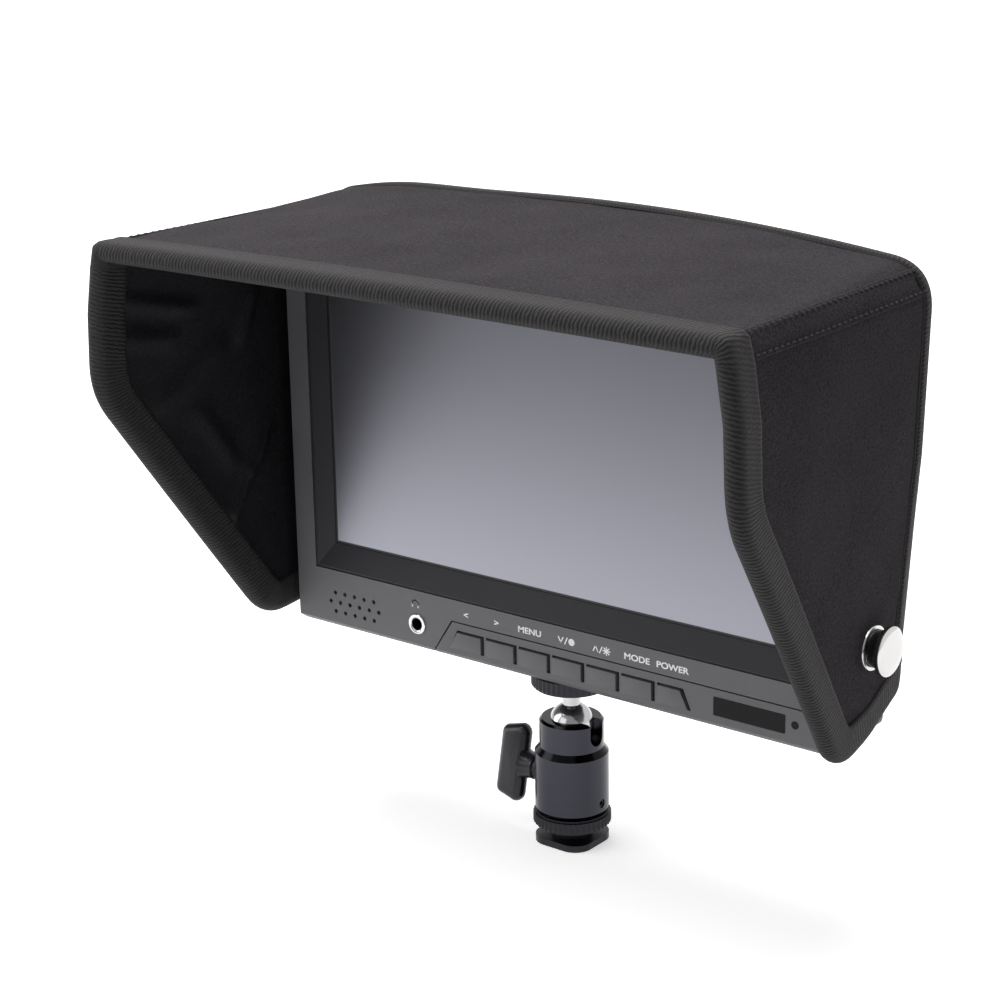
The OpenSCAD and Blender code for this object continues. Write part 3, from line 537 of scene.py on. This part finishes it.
tree.links.new(math_node(tree, "ADD", given.outputs["Roughness"], wear), out.inputs["Roughness"])
tree.links.new(bump_normal(tree, pits.outputs["Fac"], 0.00006, given.outputs["Grain Depth"]), out.inputs["Normal"])


def plastic(name, color, roughness, grain_depth=0.35, grain_scale=2600.0, specular=0.45):
    mat, tree, shader = new_material(name)
    grain = tree.nodes.new("ShaderNodeGroup")
    grain.node_tree = moulded_grain
    grain.inputs["Color"].default_value = (*color, 1)
    grain.inputs["Roughness"].default_value = roughness
    grain.inputs["Grain Scale"].default_value = grain_scale
    grain.inputs["Grain Depth"].default_value = grain_depth
    tree.links.new(grain.outputs["Color"], shader.inputs["Base Color"])
    tree.links.new(grain.outputs["Roughness"], shader.inputs["Roughness"])
    tree.links.new(grain.outputs["Normal"], shader.inputs["Normal"])
    shader.inputs["Specular IOR Level"].default_value = specular
    return mat


board_plastic = plastic("board_plastic", (0.6, 0.6, 0.58), 0.5)
for name, v_low, v_high in (("board_top", -fold_v + board_margin, fold_v - board_margin),
                            ("board_right", fold_v + board_margin, board_low_v),
                            ("board_left", -board_low_v, -fold_v - board_margin)):
    outer, inner = [], []
    for k in range(25):
        v = v_low + (v_high - v_low) * k / 24
        first = -brim_reach + brim_margin
        if abs(v) > fold_v:
            first = float(np.interp(top_z - (abs(v) - fold_v), side_front_z, side_front_y))
        line = [Vector((v, first + (board_rear - first) * i / 20)) for i in range(21)]
        outer.append([at_monitor(*hood_place(p.x, p.y, board_on)) for p in line])
        inner.append([at_monitor(*hood_place(p.x, p.y, board_on + board_t)) for p in line])
    board = shell_between(name, outer, inner, board_plastic)
    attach(board, "monitor")
    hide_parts(name.split("_")[1] + "_board")

# Lining. Thin black nylon, loose on the boards behind it, so it lies in soft creases. Each crease is a low
# ridge between two places on a side, y and z, with a width and a height.
lining_nylon = cloth("lining_nylon", (0.004, 0.004, 0.005), (0.026, 0.024, 0.028), 2600, 0.3, 0.42, 0.0)
side_creases = {
    -1: [(-21, 36, -13, 49, 1.6, 1.2), (-13, 49, -1, 63, 2.0, 1.1), (-13, 88, -7, 103, 2.4, 0.8),
         (-57, 107, -32, 101, 2.2, 0.9), (-56, 96, -38, 93, 2.6, 0.7), (-44, 74, -22, 88, 4.0, 0.7),
         (-48, 62, -20, 30, 5.0, 0.6), (-30, 70, -18, 52, 3.0, 0.6)],
    1: [(-46, 100, -20, 92, 2.4, 0.9), (-40, 60, -12, 40, 3.0, 0.8), (-18, 24, -2, 58, 2.4, 0.8)],
}


def crease_height(side, y, z):
    total = 0.0
    for y0, z0, y1, z1, width, height in side_creases[side]:
        along = Vector((y1 - y0, z1 - z0))
        rel = Vector((y - y0, z - z0))
        t = rel.dot(along) / along.length_squared
        off = abs(rel.x * along.y - rel.y * along.x) / along.length
        end = max(0, 1 - (max(abs(t - 0.5) - 0.25, 0) / 0.4) ** 2)
        total += height * end * math.exp(-(off / width) ** 2)
    return total


crease_gain, lining_slack, lining_wave = 1.6, 0.25, 0.5
lining_steps = [i / 70 for i in range(71)]
outer, inner = [], []
for f, row in zip(lining_steps, cloth_rows(7.0, 2.6, lining_steps)):
    row_a, row_b = [], []
    for v, y in row:
        p = hood_place(v, y)
        slack = min(1, max(0, (-2 - y) / 6)) * min(1, f / 0.06)
        lift = lining_slack * slack
        if abs(v) > fold_v:
            lift += slack * (crease_gain * crease_height(1 if v > 0 else -1, y, p.z) + soft(p, lining_wave, 9.0))
        row_a.append(at_monitor(*hood_place(v, y, hood_t - lining_t)))
        row_b.append(at_monitor(*hood_place(v, y, hood_t - 0.15 + max(lift, 0))))
    outer.append(row_a)
    inner.append(row_b)
hood_lining = shell_between("hood_lining", outer, inner, lining_nylon)
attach(hood_lining, "monitor")
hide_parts("top_lining", "left_lining", "right_lining")

# Binding. One length of ribbed tape folded over the front edge and both hems and sewn through, fat and
# round at the fold. The ribs run across the tape and follow its own length.
rib_pitch = 1.15
tape_mat, tree, shader = new_material("binding_tape")
uv = tree.nodes.new("ShaderNodeUVMap")
uv.uv_map = "tape"
slant = tree.nodes.new("ShaderNodeMapping")
slant.inputs["Rotation"].default_value = (0, 0, math.radians(14))
tree.links.new(uv.outputs["UV"], slant.inputs["Vector"])
wave = tree.nodes.new("ShaderNodeTexWave")
wave.wave_type = "BANDS"
wave.bands_direction = "X"
wave.inputs["Scale"].default_value = 0.314 / rib_pitch
wave.inputs["Distortion"].default_value = 3.0
wave.inputs["Detail"].default_value = 2
wave.inputs["Detail Scale"].default_value = 2.5
tree.links.new(slant.outputs[0], wave.inputs["Vector"])
cross = noise_node(tree, 3.0, 3, uv.outputs["UV"])
ribs = tree.nodes.new("ShaderNodeMath")
ribs.operation = "MULTIPLY_ADD"
ribs.inputs[1].default_value = 0.6
tree.links.new(cross.outputs["Fac"], ribs.inputs[0])
tree.links.new(wave.outputs["Fac"], ribs.inputs[2])
# One row of open dark ribs runs along the middle of the fold; both legs are a plain close weave.
split = tree.nodes.new("ShaderNodeSeparateXYZ")
tree.links.new(uv.outputs["UV"], split.inputs[0])
row_across = 10.4
beside_row = math_node(tree, "ABSOLUTE", math_node(tree, "SUBTRACT", split.outputs["Y"], row_across))
in_row = map_range(tree, beside_row, 1.3, 2.2, 1, 0)
rib = map_range(tree, ribs.outputs[0], 0.2, 1.3, 0, 1)
plain = mix_color(tree, rib, (0.014, 0.0125, 0.013, 1), (0.032, 0.029, 0.029, 1))
row_color = mix_color(tree, rib, (0.0015, 0.0015, 0.002, 1), (0.03, 0.027, 0.028, 1))
tree.links.new(mix_color(tree, in_row, plain, row_color), shader.inputs["Base Color"])
tree.links.new(bump_normal(tree, ribs.outputs[0], 0.0003, 0.6), shader.inputs["Normal"])
shader.inputs["Roughness"].default_value = 0.7
shader.inputs["Specular IOR Level"].default_value = 0.25

tape_leg = 9.3


def fold_depth(v, y):
    """Depth of the inner leg: deep at the brim and the sides, shallow beside the monitor."""
    beside = min(1, max(0, (y + 12) / 10)) if abs(v) > fold_v + 6 else 0
    return 4.7 - 1.4 * beside


def fold_profile(depth):
    """U section as reach in from the edge and depth: outer leg, round fold, inner leg."""
    high, low = -0.45, depth
    mid, r, out = (high + low) / 2, (low - high) / 2, 2.5
    points = [(tape_leg + 0.1, 0.15), (tape_leg - 0.1, high + 0.1), (tape_leg - 0.8, high - 0.05),
              (tape_leg - 2, high + 0.08), (tape_leg / 2, high - 0.03)]
    for a in (math.radians(12 * k) for k in range(16)):
        points.append((out - out * math.sin(a), mid - r * math.cos(a)))
    points += [(tape_leg / 2, low + 0.02), (tape_leg - 2, low - 0.1), (tape_leg - 0.8, low),
               (tape_leg - 0.1, low - 0.15), (tape_leg + 0.1, low - 0.6)]
    return points


def apply_modifiers(obj):
    depsgraph = bpy.context.evaluated_depsgraph_get()
    mesh = bpy.data.meshes.new_from_object(obj.evaluated_get(depsgraph))
    obj.modifiers.clear()
    obj.data = mesh
    return obj


def tape_strip(name, rows, coords, thickness):
    """Strip of tape through rows of points. Its own map runs along and across the tape, in millimetres."""
    cols = len(rows[0])
    faces = [(i * cols + j, i * cols + j + 1, (i + 1) * cols + j + 1, (i + 1) * cols + j)
             for i in range(len(rows) - 1) for j in range(cols - 1)]
    obj = make_mesh(name, [p for row in rows for p in row], faces, tape_mat)
    layer = obj.data.uv_layers.new(name="tape")
    for loop in obj.data.loops:
        layer.data[loop.index].uv = coords[loop.vertex_index]
    wall = obj.modifiers.new("thickness", "SOLIDIFY")
    wall.thickness = thickness * MM
    wall.offset = -1
    return fix_normals(apply_modifiers(obj))


rows, coords, run = [], [], 0.0
for i, (p, d) in enumerate(zip(edge_path, edge_in)):
    profile = fold_profile(fold_depth(p.x, p.y))
    if i:
        run += (hood_place(*p) - hood_place(*edge_path[i - 1])).length
    row, across = [], 0.0
    for j, (reach, depth) in enumerate(profile):
        q = p + d * reach
        if q.y > rear_y:
            q.y = rear_y
        row.append(at_monitor(*hood_place(q.x, q.y, depth)))
        across += math.dist(profile[j - 1], (reach, depth)) if j else 0
        coords.append((run, across))
    rows.append(row)
front_tape = tape_strip("front_binding", rows, coords, 0.4)
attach(front_tape, "monitor")
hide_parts("left_binding", "right_binding", "brim_binding", "hem_binding")


# Seam tapes. Along each fold between top and side a strip of the hood cloth covers the seam, sewn down with
# two rows of stitches.
seam_mid, seam_half, seam_lift = fold_v + 1.5, 4.1, 0.4
seam_front, seam_rear = -58.5, rear_y - 4


def raised_strip(name, centre, half_width, lift, mat):
    """Low strip of cloth on the hood along flattened places, with rolled edges."""
    section = [(-half_width, 0.05), (-half_width + 0.25, -lift * 0.8), (-half_width + 0.7, -lift),
               (half_width - 0.7, -lift), (half_width - 0.25, -lift * 0.8), (half_width, 0.05)]
    rows, under = [], []
    for p, d in zip(centre, path_inward(centre)):
        rows.append([at_monitor(*hood_place(*(p + d * across), depth)) for across, depth in section])
        under.append([at_monitor(*hood_place(*(p + d * across), 0.3)) for across, depth in section])
    obj = shell_between(name, rows, under, mat)
    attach(obj, "monitor")
    return obj


for side, name in ((1, "seam_tape_right"), (-1, "seam_tape_left")):
    centre = [Vector((side * seam_mid, seam_front + i * (seam_rear - seam_front) / 60)) for i in range(61)]
    obj = raised_strip(name, centre, seam_half, seam_lift, hood_cloth)

# Rear seam. A thin dark piping closes the seam all round, and a band of the binding's tape finishes the edge
# behind it.
piping_mat = cloth("piping_black", (0.003, 0.003, 0.003), (0.012, 0.011, 0.012), 2600, 0.3, 0.6, 0.0)
rear_line = []
for v in [rear_low + (-rear_low * 2) * i / 300 for i in range(301)]:
    y = rear_y - 3.6
    for _ in range(3):
        z = hood_place(v, y).z
        y = rear_y - 2.9 - max(float(np.interp(z, rear_round_z, rear_round_r)), 2.6)
    rear_line.append(Vector((v, y)))
piping = raised_strip("rear_piping", rear_line, 0.8, 0.25, piping_mat)
trim_line = [Vector((p.x, (p.y + 0.5 + rear_y) / 2)) for p in rear_line]
rows, coords = [], []
for i, (p, q) in enumerate(zip(rear_line, trim_line)):
    half = q.y - p.y - 0.5
    section = [(-half, 0.1), (-half + 0.15, -0.35), (-half + 0.6, -0.6), (half * 0.3, -0.6), (half - 0.3, -0.3),
               (half - 0.05, 0.3)]
    rows.append([at_monitor(*hood_place(q.x, q.y + across, depth)) for across, depth in section])
    coords += [(i * abs(2 * rear_low) / 300, across) for across, depth in section]
rear_trim = tape_strip("rear_trim", rows, coords, 0.3)
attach(rear_trim, "monitor")

# Stitches. Short stitches of black thread in rows along both legs of the binding and both edges of the seam
# tapes, laid by one node group that follows a line of points.
stitch_pitch, stitch_share, thread_r = 0.0026, 0.66, 0.00026
stitch_reach, row_in = 8.1, 1.3
thread_mat = plastic("thread_black", (0.02, 0.018, 0.02), 0.7, specular=0.3)
stitch_tree = bpy.data.node_groups.new("stitch_row", "GeometryNodeTree")
stitch_tree.interface.new_socket("Geometry", in_out="INPUT", socket_type="NodeSocketGeometry")
for label, value in (("Pitch", stitch_pitch), ("Stitch Length", stitch_pitch * stitch_share),
                     ("Thread Radius", thread_r)):
    socket = stitch_tree.interface.new_socket(label, in_out="INPUT", socket_type="NodeSocketFloat")
    socket.default_value = value
stitch_tree.interface.new_socket("Thread", in_out="INPUT", socket_type="NodeSocketMaterial")
stitch_tree.interface.new_socket("Geometry", in_out="OUTPUT", socket_type="NodeSocketGeometry")
add = stitch_tree.nodes.new
link = stitch_tree.links.new
given, out = add("NodeGroupInput"), add("NodeGroupOutput")
to_curve, to_points = add("GeometryNodeMeshToCurve"), add("GeometryNodeCurveToPoints")
stitch, scale = add("GeometryNodeMeshIcoSphere"), add("ShaderNodeCombineXYZ")
place, realize = add("GeometryNodeInstanceOnPoints"), add("GeometryNodeRealizeInstances")
shade, dye = add("GeometryNodeSetShadeSmooth"), add("GeometryNodeSetMaterial")
to_points.mode = "LENGTH"
stitch.inputs["Radius"].default_value = 1.0
stitch.inputs["Subdivisions"].default_value = 2
half_length = math_node(stitch_tree, "MULTIPLY", given.outputs["Stitch Length"], 0.5)
link(given.outputs["Geometry"], to_curve.inputs["Mesh"])
link(to_curve.outputs["Curve"], to_points.inputs["Curve"])
link(given.outputs["Pitch"], to_points.inputs["Length"])
link(given.outputs["Thread Radius"], scale.inputs["X"])
link(given.outputs["Thread Radius"], scale.inputs["Y"])
link(half_length, scale.inputs["Z"])
link(to_points.outputs["Points"], place.inputs["Points"])
link(to_points.outputs["Rotation"], place.inputs["Rotation"])
link(stitch.outputs["Mesh"], place.inputs["Instance"])
link(scale.outputs[0], place.inputs["Scale"])
link(place.outputs["Instances"], realize.inputs["Geometry"])
link(realize.outputs["Geometry"], shade.inputs["Geometry"])
link(shade.outputs["Geometry"], dye.inputs["Geometry"])
link(given.outputs["Thread"], dye.inputs["Material"])
link(dye.outputs["Geometry"], out.inputs["Geometry"])
stitch_inputs = {item.name: item.identifier for item in stitch_tree.interface.items_tree if item.in_out == "INPUT"}


def stitch_row(name, lines):
    verts, edges = [], []
    for line in lines:
        start = len(verts)
        verts += [tuple(at_monitor(*hood_place(v, y, depth))) for v, y, depth in line]
        edges += [(start + i, start + i + 1) for i in range(len(line) - 1)]
    mesh = bpy.data.meshes.new(name)
    mesh.from_pydata(verts, edges, [])
    obj = bpy.data.objects.new(name, mesh)
    bpy.context.scene.collection.objects.link(obj)
    mod = obj.modifiers.new("stitches", "NODES")
    mod.node_group = stitch_tree
    mod[stitch_inputs["Pitch"]] = stitch_pitch
    mod[stitch_inputs["Stitch Length"]] = stitch_pitch * stitch_share
    mod[stitch_inputs["Thread"]] = thread_mat
    apply_modifiers(obj)
    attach(obj, "monitor")


keep = range(4, len(edge_path) - 4)
outer_line = [(*(edge_path[i] + edge_in[i] * stitch_reach), -0.52) for i in keep]
inner_line = [(*(edge_path[i] + edge_in[i] * stitch_reach), fold_depth(*edge_path[i]) + 0.04) for i in keep]
stitch_row("binding_stitches", [outer_line, inner_line])
first, last = seam_front + 1, seam_rear - 1
stitch_row("seam_stitches",
           [[(side * v, first + i * (last - first) / 60, -seam_lift - 0.02) for i in range(61)]
            for side in (1, -1) for v in (seam_mid - seam_half + row_in, seam_mid + seam_half - row_in)])

# Monitor shells. The front frame with its key panel and the rear cover are moulded in fine grained dark grey
# ABS and screwed together. A darker bezel that slopes down to the display is let into the front.
def paint(names, mat):
    for name in names:
        mesh = nodes[name].data
        mesh.materials.clear()
        mesh.materials.append(mat)


body_plastic = plastic("body_plastic", (0.115, 0.113, 0.122), 0.5)
bezel_plastic = plastic("bezel_plastic", (0.019, 0.018, 0.022), 0.55, specular=0.3)
paint(["front_frame", "key_panel", "rear_cover"], body_plastic)
paint(["screen_bezel"], bezel_plastic)

# Key caps. Seven soft moulded caps of the body's plastic with small round edges, each in its own slot of the
# key panel.
cap_round = 0.45
key_plastic = plastic("key_plastic", (0.115, 0.113, 0.122), 0.45)
for number in range(1, 8):
    name = f"key_{number}"
    paint([name], key_plastic)
    work = bmesh.new()
    work.from_mesh(nodes[name].data)
    bmesh.ops.remove_doubles(work, verts=work.verts, dist=1e-7)
    bmesh.ops.dissolve_limit(work, angle_limit=math.radians(1), verts=work.verts, edges=work.edges)
    sharp = [e for e in work.edges if len(e.link_faces) == 2 and e.calc_face_angle(0) > math.radians(35)]
    bmesh.ops.bevel(work, geom=sharp, offset=cap_round * MM, segments=3, profile=0.5, affect="EDGES",
                    clamp_overlap=True)
    cap = piece_of(work, "cap_" + name, key_plastic)
    cap.data.shade_smooth()
    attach(cap, name)
    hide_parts(name)

# Screen. A switched-off display with a hazy anti-glare face that mirrors its surroundings softly, inside a
# thin black border printed round the lit area.
lit_w, lit_h, lit_z = 154.08, 85.92, 27.0
border_blur = 0.00012
border_black, screen_grey = (0.004, 0.004, 0.005, 1), (0.3, 0.303, 0.345, 1)
screen_mat, tree, shader = new_material("screen_glass")
in_range = []
for axis, centre, half in (("X", 0.0, lit_w / 2 * MM), ("Z", base_z + (lit_z + lit_h / 2) * MM, lit_h / 2 * MM)):
    away = math_node(tree, "ABSOLUTE", math_node(tree, "SUBTRACT", place_socket(tree, "Object", axis), centre))
    in_range.append(map_range(tree, away, half - border_blur, half + border_blur, 1, 0))
inside = math_node(tree, "MULTIPLY", *in_range)
tree.links.new(mix_color(tree, inside, border_black, screen_grey), shader.inputs["Base Color"])
tree.links.new(map_range(tree, inside, 0, 1, 0, 1), shader.inputs["Metallic"])
tree.links.new(map_range(tree, inside, 0, 1, 0.5, 0.34), shader.inputs["Roughness"])
paint(["lcd_glass"], screen_mat)

# Labels. Small light grey words and marks in a thin layer of ink, printed on the front over the keys and over
# the headphone socket.
ink_mat = plastic("label_ink", (0.85, 0.85, 0.87), 0.5, 0.0)
label_z, letter_stretch, ink_front = 14.0, 1.2, -0.03


def print_word(word, name, x, size):
    curve = bpy.data.curves.new("label", "FONT")
    curve.body = word
    curve.size = size * MM
    curve.align_x = "CENTER"
    curve.align_y = "CENTER"
    curve.extrude = 0.00001
    curve.offset = 0.00007
    text = bpy.data.objects.new("label", curve)
    bpy.context.scene.collection.objects.link(text)
    flat = bpy.data.meshes.new_from_object(text.evaluated_get(bpy.context.evaluated_depsgraph_get()))
    bpy.data.objects.remove(text)
    work = bmesh.new()
    work.from_mesh(flat)
    for v in work.verts:
        v.co = Vector((v.co.x * letter_stretch, -v.co.z, v.co.y)) + at_monitor(x, ink_front, label_z)
    label = piece_of(work, name, ink_mat)
    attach(label, "monitor")


for word, name, x, size in (("<", "label_left", -27.5, 2.6), (">", "label_right", -16.4, 2.6),
                            ("MENU", "label_menu", -4.6, 2.5), ("MODE", "label_mode", 32.0, 2.5),
                            ("POWER", "label_power", 43.6, 2.5)):
    print_word(word, name, x, size)


def print_marks(name, x, z, strokes, discs, thick=0.38):
    """Flat marks: strokes between two places, and discs with a middle and a radius, in millimetres."""
    work = bmesh.new()

    def slab(points):
        rings = [[work.verts.new(at_monitor(x + a, y, z + b)) for a, b in points] for y in (-0.04, 0.02)]
        work.faces.new(rings[0])
        work.faces.new(rings[1][::-1])
        for i in range(len(points)):
            j = (i + 1) % len(points)
            work.faces.new((rings[0][j], rings[0][i], rings[1][i], rings[1][j]))

    for x0, z0, x1, z1 in strokes:
        along = Vector((x1 - x0, z1 - z0)).normalized() * thick / 2
        square = Vector((-along.y, along.x))
        a, b = Vector((x0, z0)) - along, Vector((x1, z1)) + along
        slab([a + square, a - square, b - square, b + square])
    for cx, cz, r in discs:
        slab([(cx + r * math.cos(math.radians(t)), cz + r * math.sin(math.radians(t))) for t in range(0, 360, 20)])
    bmesh.ops.recalc_face_normals(work, faces=work.faces)
    marks = piece_of(work, name, ink_mat)
    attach(marks, "monitor")


slash = (-0.4, -0.9, 0.4, 0.9)
print_marks("mark_down", 8.1, label_z, [(-2.6, 0.8, -1.8, -0.7), (-1.8, -0.7, -1.0, 0.8), slash], [(1.9, 0, 1.05)])
rays = [(1.9 + 0.8 * math.cos(a), 0.8 * math.sin(a), 1.9 + 1.15 * math.cos(a), 1.15 * math.sin(a))
        for a in (math.radians(45 * k) for k in range(8))]
print_marks("mark_up", 20.0, label_z, [(-2.6, -0.7, -1.8, 0.8), (-1.8, 0.8, -1.0, -0.7), slash] + rays,
            [(1.9, 0, 0.75)], 0.34)
arc = [(1.15 * math.cos(math.radians(a)), 1.15 * math.sin(math.radians(a))) for a in range(-10, 200, 15)]
print_marks("mark_headphones", -46.4, 13.7, [(*a, *b) for a, b in zip(arc, arc[1:])]
            + [(-1.1, -0.9, -1.1, -0.2), (1.1, -0.9, 1.1, -0.2)], [], 0.4)

# Name plate and sensor window. A thin glossy black plate, left blank, and the small dark window beside it.
plate_black = plastic("plate_black", (0.003, 0.003, 0.004), 0.3, 0.05, specular=0.15)
paint(["name_plate", "sensor_window"], plate_black)

# Sockets and speaker. Black moulded fittings in the shells; the headphone socket has a bright pressed ring
# round its bore.
knob_plastic = plastic("knob_plastic", (0.012, 0.012, 0.017), 0.28)
paint(["headphone_jack", "speaker", "dc_socket", "av_sockets"], knob_plastic)


def metal(name, color, roughness, grain_depth=0.04, grain_scale=900.0):
    mat = plastic(name, color, roughness, grain_depth, grain_scale)
    mat.node_tree.nodes["Principled BSDF"].inputs["Metallic"].default_value = 1.0
    return mat


def ring_faces(rings, steps, capped):
    """Faces between rings of points, each with the same number of steps, and its two end faces."""
    faces = []
    for i in range(rings - 1):
        for k in range(steps):
            j = (k + 1) % steps
            faces.append((i * steps + k, i * steps + j, (i + 1) * steps + j, (i + 1) * steps + k))
    if capped:
        faces.append(tuple(range(steps)))
        faces.append(tuple((rings - 1) * steps + k for k in reversed(range(steps))))
    return faces


def lathe(name, profile, centre, axis, mat, steps=72):
    """Turned shape. The profile's points are (distance along the axis, radius) in millimetres."""
    axis = Vector(axis).normalized()
    side = axis.orthogonal().normalized()
    up = axis.cross(side)
    verts = []
    for along, r in profile:
        for k in range(steps):
            t = 2 * math.pi * k / steps
            verts.append(centre + (axis * along + (side * math.cos(t) + up * math.sin(t)) * r) * MM)
    open_ended = math.dist(profile[0], profile[-1]) > 1e-6
    return fix_normals(make_mesh(name, verts, ring_faces(len(profile), steps, open_ended), mat), 40)


chrome = metal("chrome_trim", (0.62, 0.61, 0.6), 0.16)
jack_x, jack_z = -45.8, 7.6
jack_ring = [(0.1, 3.08), (-0.3, 3.05), (-0.45, 2.9), (-0.45, 2.3), (-0.3, 2.0), (0.05, 1.85), (0.1, 3.08)]
collar = lathe("jack_collar", jack_ring, at_monitor(jack_x, 0, jack_z), (0, 1, 0), chrome)
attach(collar, "monitor")

# Inner pieces and fixings. Green circuit boards with pale switches, the bright metal case of the display
# module, turned brass inserts, and black screws that hold the two shells together.
board_green = plastic("circuit_board", (0.03, 0.16, 0.07), 0.35)
switch_plastic = plastic("switch_plastic", (0.55, 0.55, 0.52), 0.4)
steel = metal("steel", (0.62, 0.62, 0.64), 0.3)
brass = metal("brass_inserts", (0.6, 0.46, 0.24), 0.3)
black_metal = metal("black_metal", (0.035, 0.035, 0.04), 0.36)
paint(["main_board", "key_board"], board_green)
paint(["key_switches"], switch_plastic)
paint(["lcd_module", "board_screws", "hdmi_socket"], steel)
paint(["tripod_socket", "side_inserts"], brass)
paint(["case_screws"], black_metal)

# Hood screws and eyelets. Each screw has a domed bright head on a black sleeve, and passes through a bright
# eyelet pressed into the cloth.
screw_y, screw_z = 7.7, 29.8
head_t, shaft_r, sleeve_r, sleeve_in = 2.4, 2.0, 5.0, 1.35
eyelet_ring = [(-1.2, 3.75), (0.3, 3.75), (0.9, 4.2), (1.15, 5.2), (0.95, 5.9), (0.35, 6.2), (-0.3, 6.1),
               (-0.3, 4.2), (-1.2, 4.1), (-1.2, 3.75)]
dome = [(-head_t, 0.01), (-head_t, 4.8), (-head_t, 6.1), (-2.1, 6.5), (-1.4, 6.7), (-0.9, 6.6), (-0.5, 6.1),
        (-0.22, 4.9), (-0.05, 2.6), (0, 0.01)]
for side, name in ((1, "right"), (-1, "left")):
    low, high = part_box("thumbscrew_" + name)
    middle = (low + high) / 2
    tip = high.x if side > 0 else low.x
    cloth_x = side * side_out(screw_y, screw_z)
    eyelet_at = Vector((cloth_x * MM, middle.y, middle.z))
    eyelet = lathe("eyelet_" + name, eyelet_ring, eyelet_at, (side, 0, 0), chrome)
    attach(eyelet, "monitor")
    if side > 0:
        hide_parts("eyelets")
    head_at = Vector((tip, middle.y, middle.z))
    head = lathe("hood_screw_head_" + name, dome, head_at, (side, 0, 0), chrome)
    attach(head, "hood_screw_" + name)
    sleeve_end = abs(cloth_x) - abs(tip) / MM + sleeve_in
    profile = [(sleeve_end, 0.01), (sleeve_end, sleeve_r), (-head_t - 0.5, sleeve_r), (-head_t, sleeve_r + 0.3),
               (-head_t, 0.01)]
    sleeve = lathe("hood_screw_sleeve_" + name, profile, head_at, (side, 0, 0), knob_plastic)
    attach(sleeve, "hood_screw_" + name)
    shaft_in = abs(tip - (low.x if side > 0 else high.x)) / MM
    profile = [(-shaft_in, 0.01), (-shaft_in, shaft_r - 0.3), (-shaft_in + 0.4, shaft_r), (-head_t, shaft_r),
               (-head_t, 0.01)]
    shaft = lathe("hood_screw_shaft_" + name, profile, head_at, (side, 0, 0), steel)
    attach(shaft, "hood_screw_" + name)
    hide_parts("thumbscrew_" + name)

# Ball head. A black shoe foot and knurled rings, a grey anodised barrel whose chamfers and top carry a painted
# dark reflection, and a bright ball with its neck.
# The second barrel colour is a painted dark reflection, used on the barrel's tilted faces.
barrel_grey, painted_reflection_black = (0.052, 0.053, 0.064), (0.012, 0.012, 0.014)
anodised = metal("anodised_barrel", barrel_grey, 0.24)
ball_chrome = metal("chrome_ball", (0.55, 0.55, 0.56), 0.22)
tree = anodised.node_tree
shader = tree.nodes["Principled BSDF"]
# Painted dark reflection: wherever the surface tilts from upright, on the chamfers and the top, the base colour turns
# near black and the roughness falls.
slope = map_range(tree, math_node(tree, "ABSOLUTE", place_socket(tree, "Normal", "Z")), 0.05, 0.3, 0, 1)
tree.links.new(mix_color(tree, slope, (*barrel_grey, 1), (*painted_reflection_black, 1)), shader.inputs["Base Color"])
tree.links.new(map_range(tree, slope, 0, 1, 0.26, 0.16), shader.inputs["Roughness"])
paint(["head_barrel"], anodised)
paint(["shoe_foot", "shoe_lock_ring", "grub_screw", "top_lock_disc", "knob_screw"], black_metal)
paint(["clamp_plunger"], steel)
paint(["head_ball", "stud_neck"], ball_chrome)

# Wing knob. One soft-edged moulding of black plastic, a flat wing with full round edges on a round hub, fixed
# to the clamp screw and turned a little past upright.
low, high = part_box("wing_knob")
knob_z = (low.z + high.z) / 2
wing_turn = math.radians(-12)
wing_w, wing_l, wing_t = 9.6, 23.5, 4.8
wing_mid = low.x / MM + wing_w / 2
corner_steps = 9
corners = [(1, 1, 2.9, 0, 0), (-1, 1, 2.4, 1.2, 90), (-1, -1, 2.4, 1.2, 180), (1, -1, 2.9, 0, 270)]
half_edge = [(2.35, 1), (1.9, 0.97), (1.4, 0.89), (0.9, 0.77), (0.5, 0.62), (0.18, 0.42), (0, 0.15)]
edge = [(inset, -across) for inset, across in half_edge] + half_edge[::-1]
verts = []
for inset, across in edge:
    for toward_x, toward_z, r, short, first in corners:
        for k in range(corner_steps):
            t = math.radians(first + 90 * k / (corner_steps - 1))
            x = wing_mid + toward_x * (wing_w / 2 - r) + (r - inset) * math.cos(t)
            z = toward_z * (wing_l / 2 - r - short) + (r - inset) * math.sin(t)
            y = across * wing_t / 2
            turned_y = y * math.cos(wing_turn) - z * math.sin(wing_turn)
            turned_z = y * math.sin(wing_turn) + z * math.cos(wing_turn)
            verts.append(Vector((x * MM, turned_y * MM, turned_z * MM + knob_z)))
faces = ring_faces(len(edge), len(corners) * corner_steps, True)
wing = fix_normals(make_mesh("wing", verts, faces, knob_plastic))
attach(wing, "clamp_knob")
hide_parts("wing_knob")
hub = lathe("wing_hub", [(-4.6, 0.01), (-4.6, 4.6), (-3.4, 4.1), (-1.4, 3.8), (-0.3, 3.8), (0, 3.5), (0, 0.01)],
            Vector((high.x, 0, knob_z)), (1, 0, 0), knob_plastic)
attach(hub, "clamp_knob")
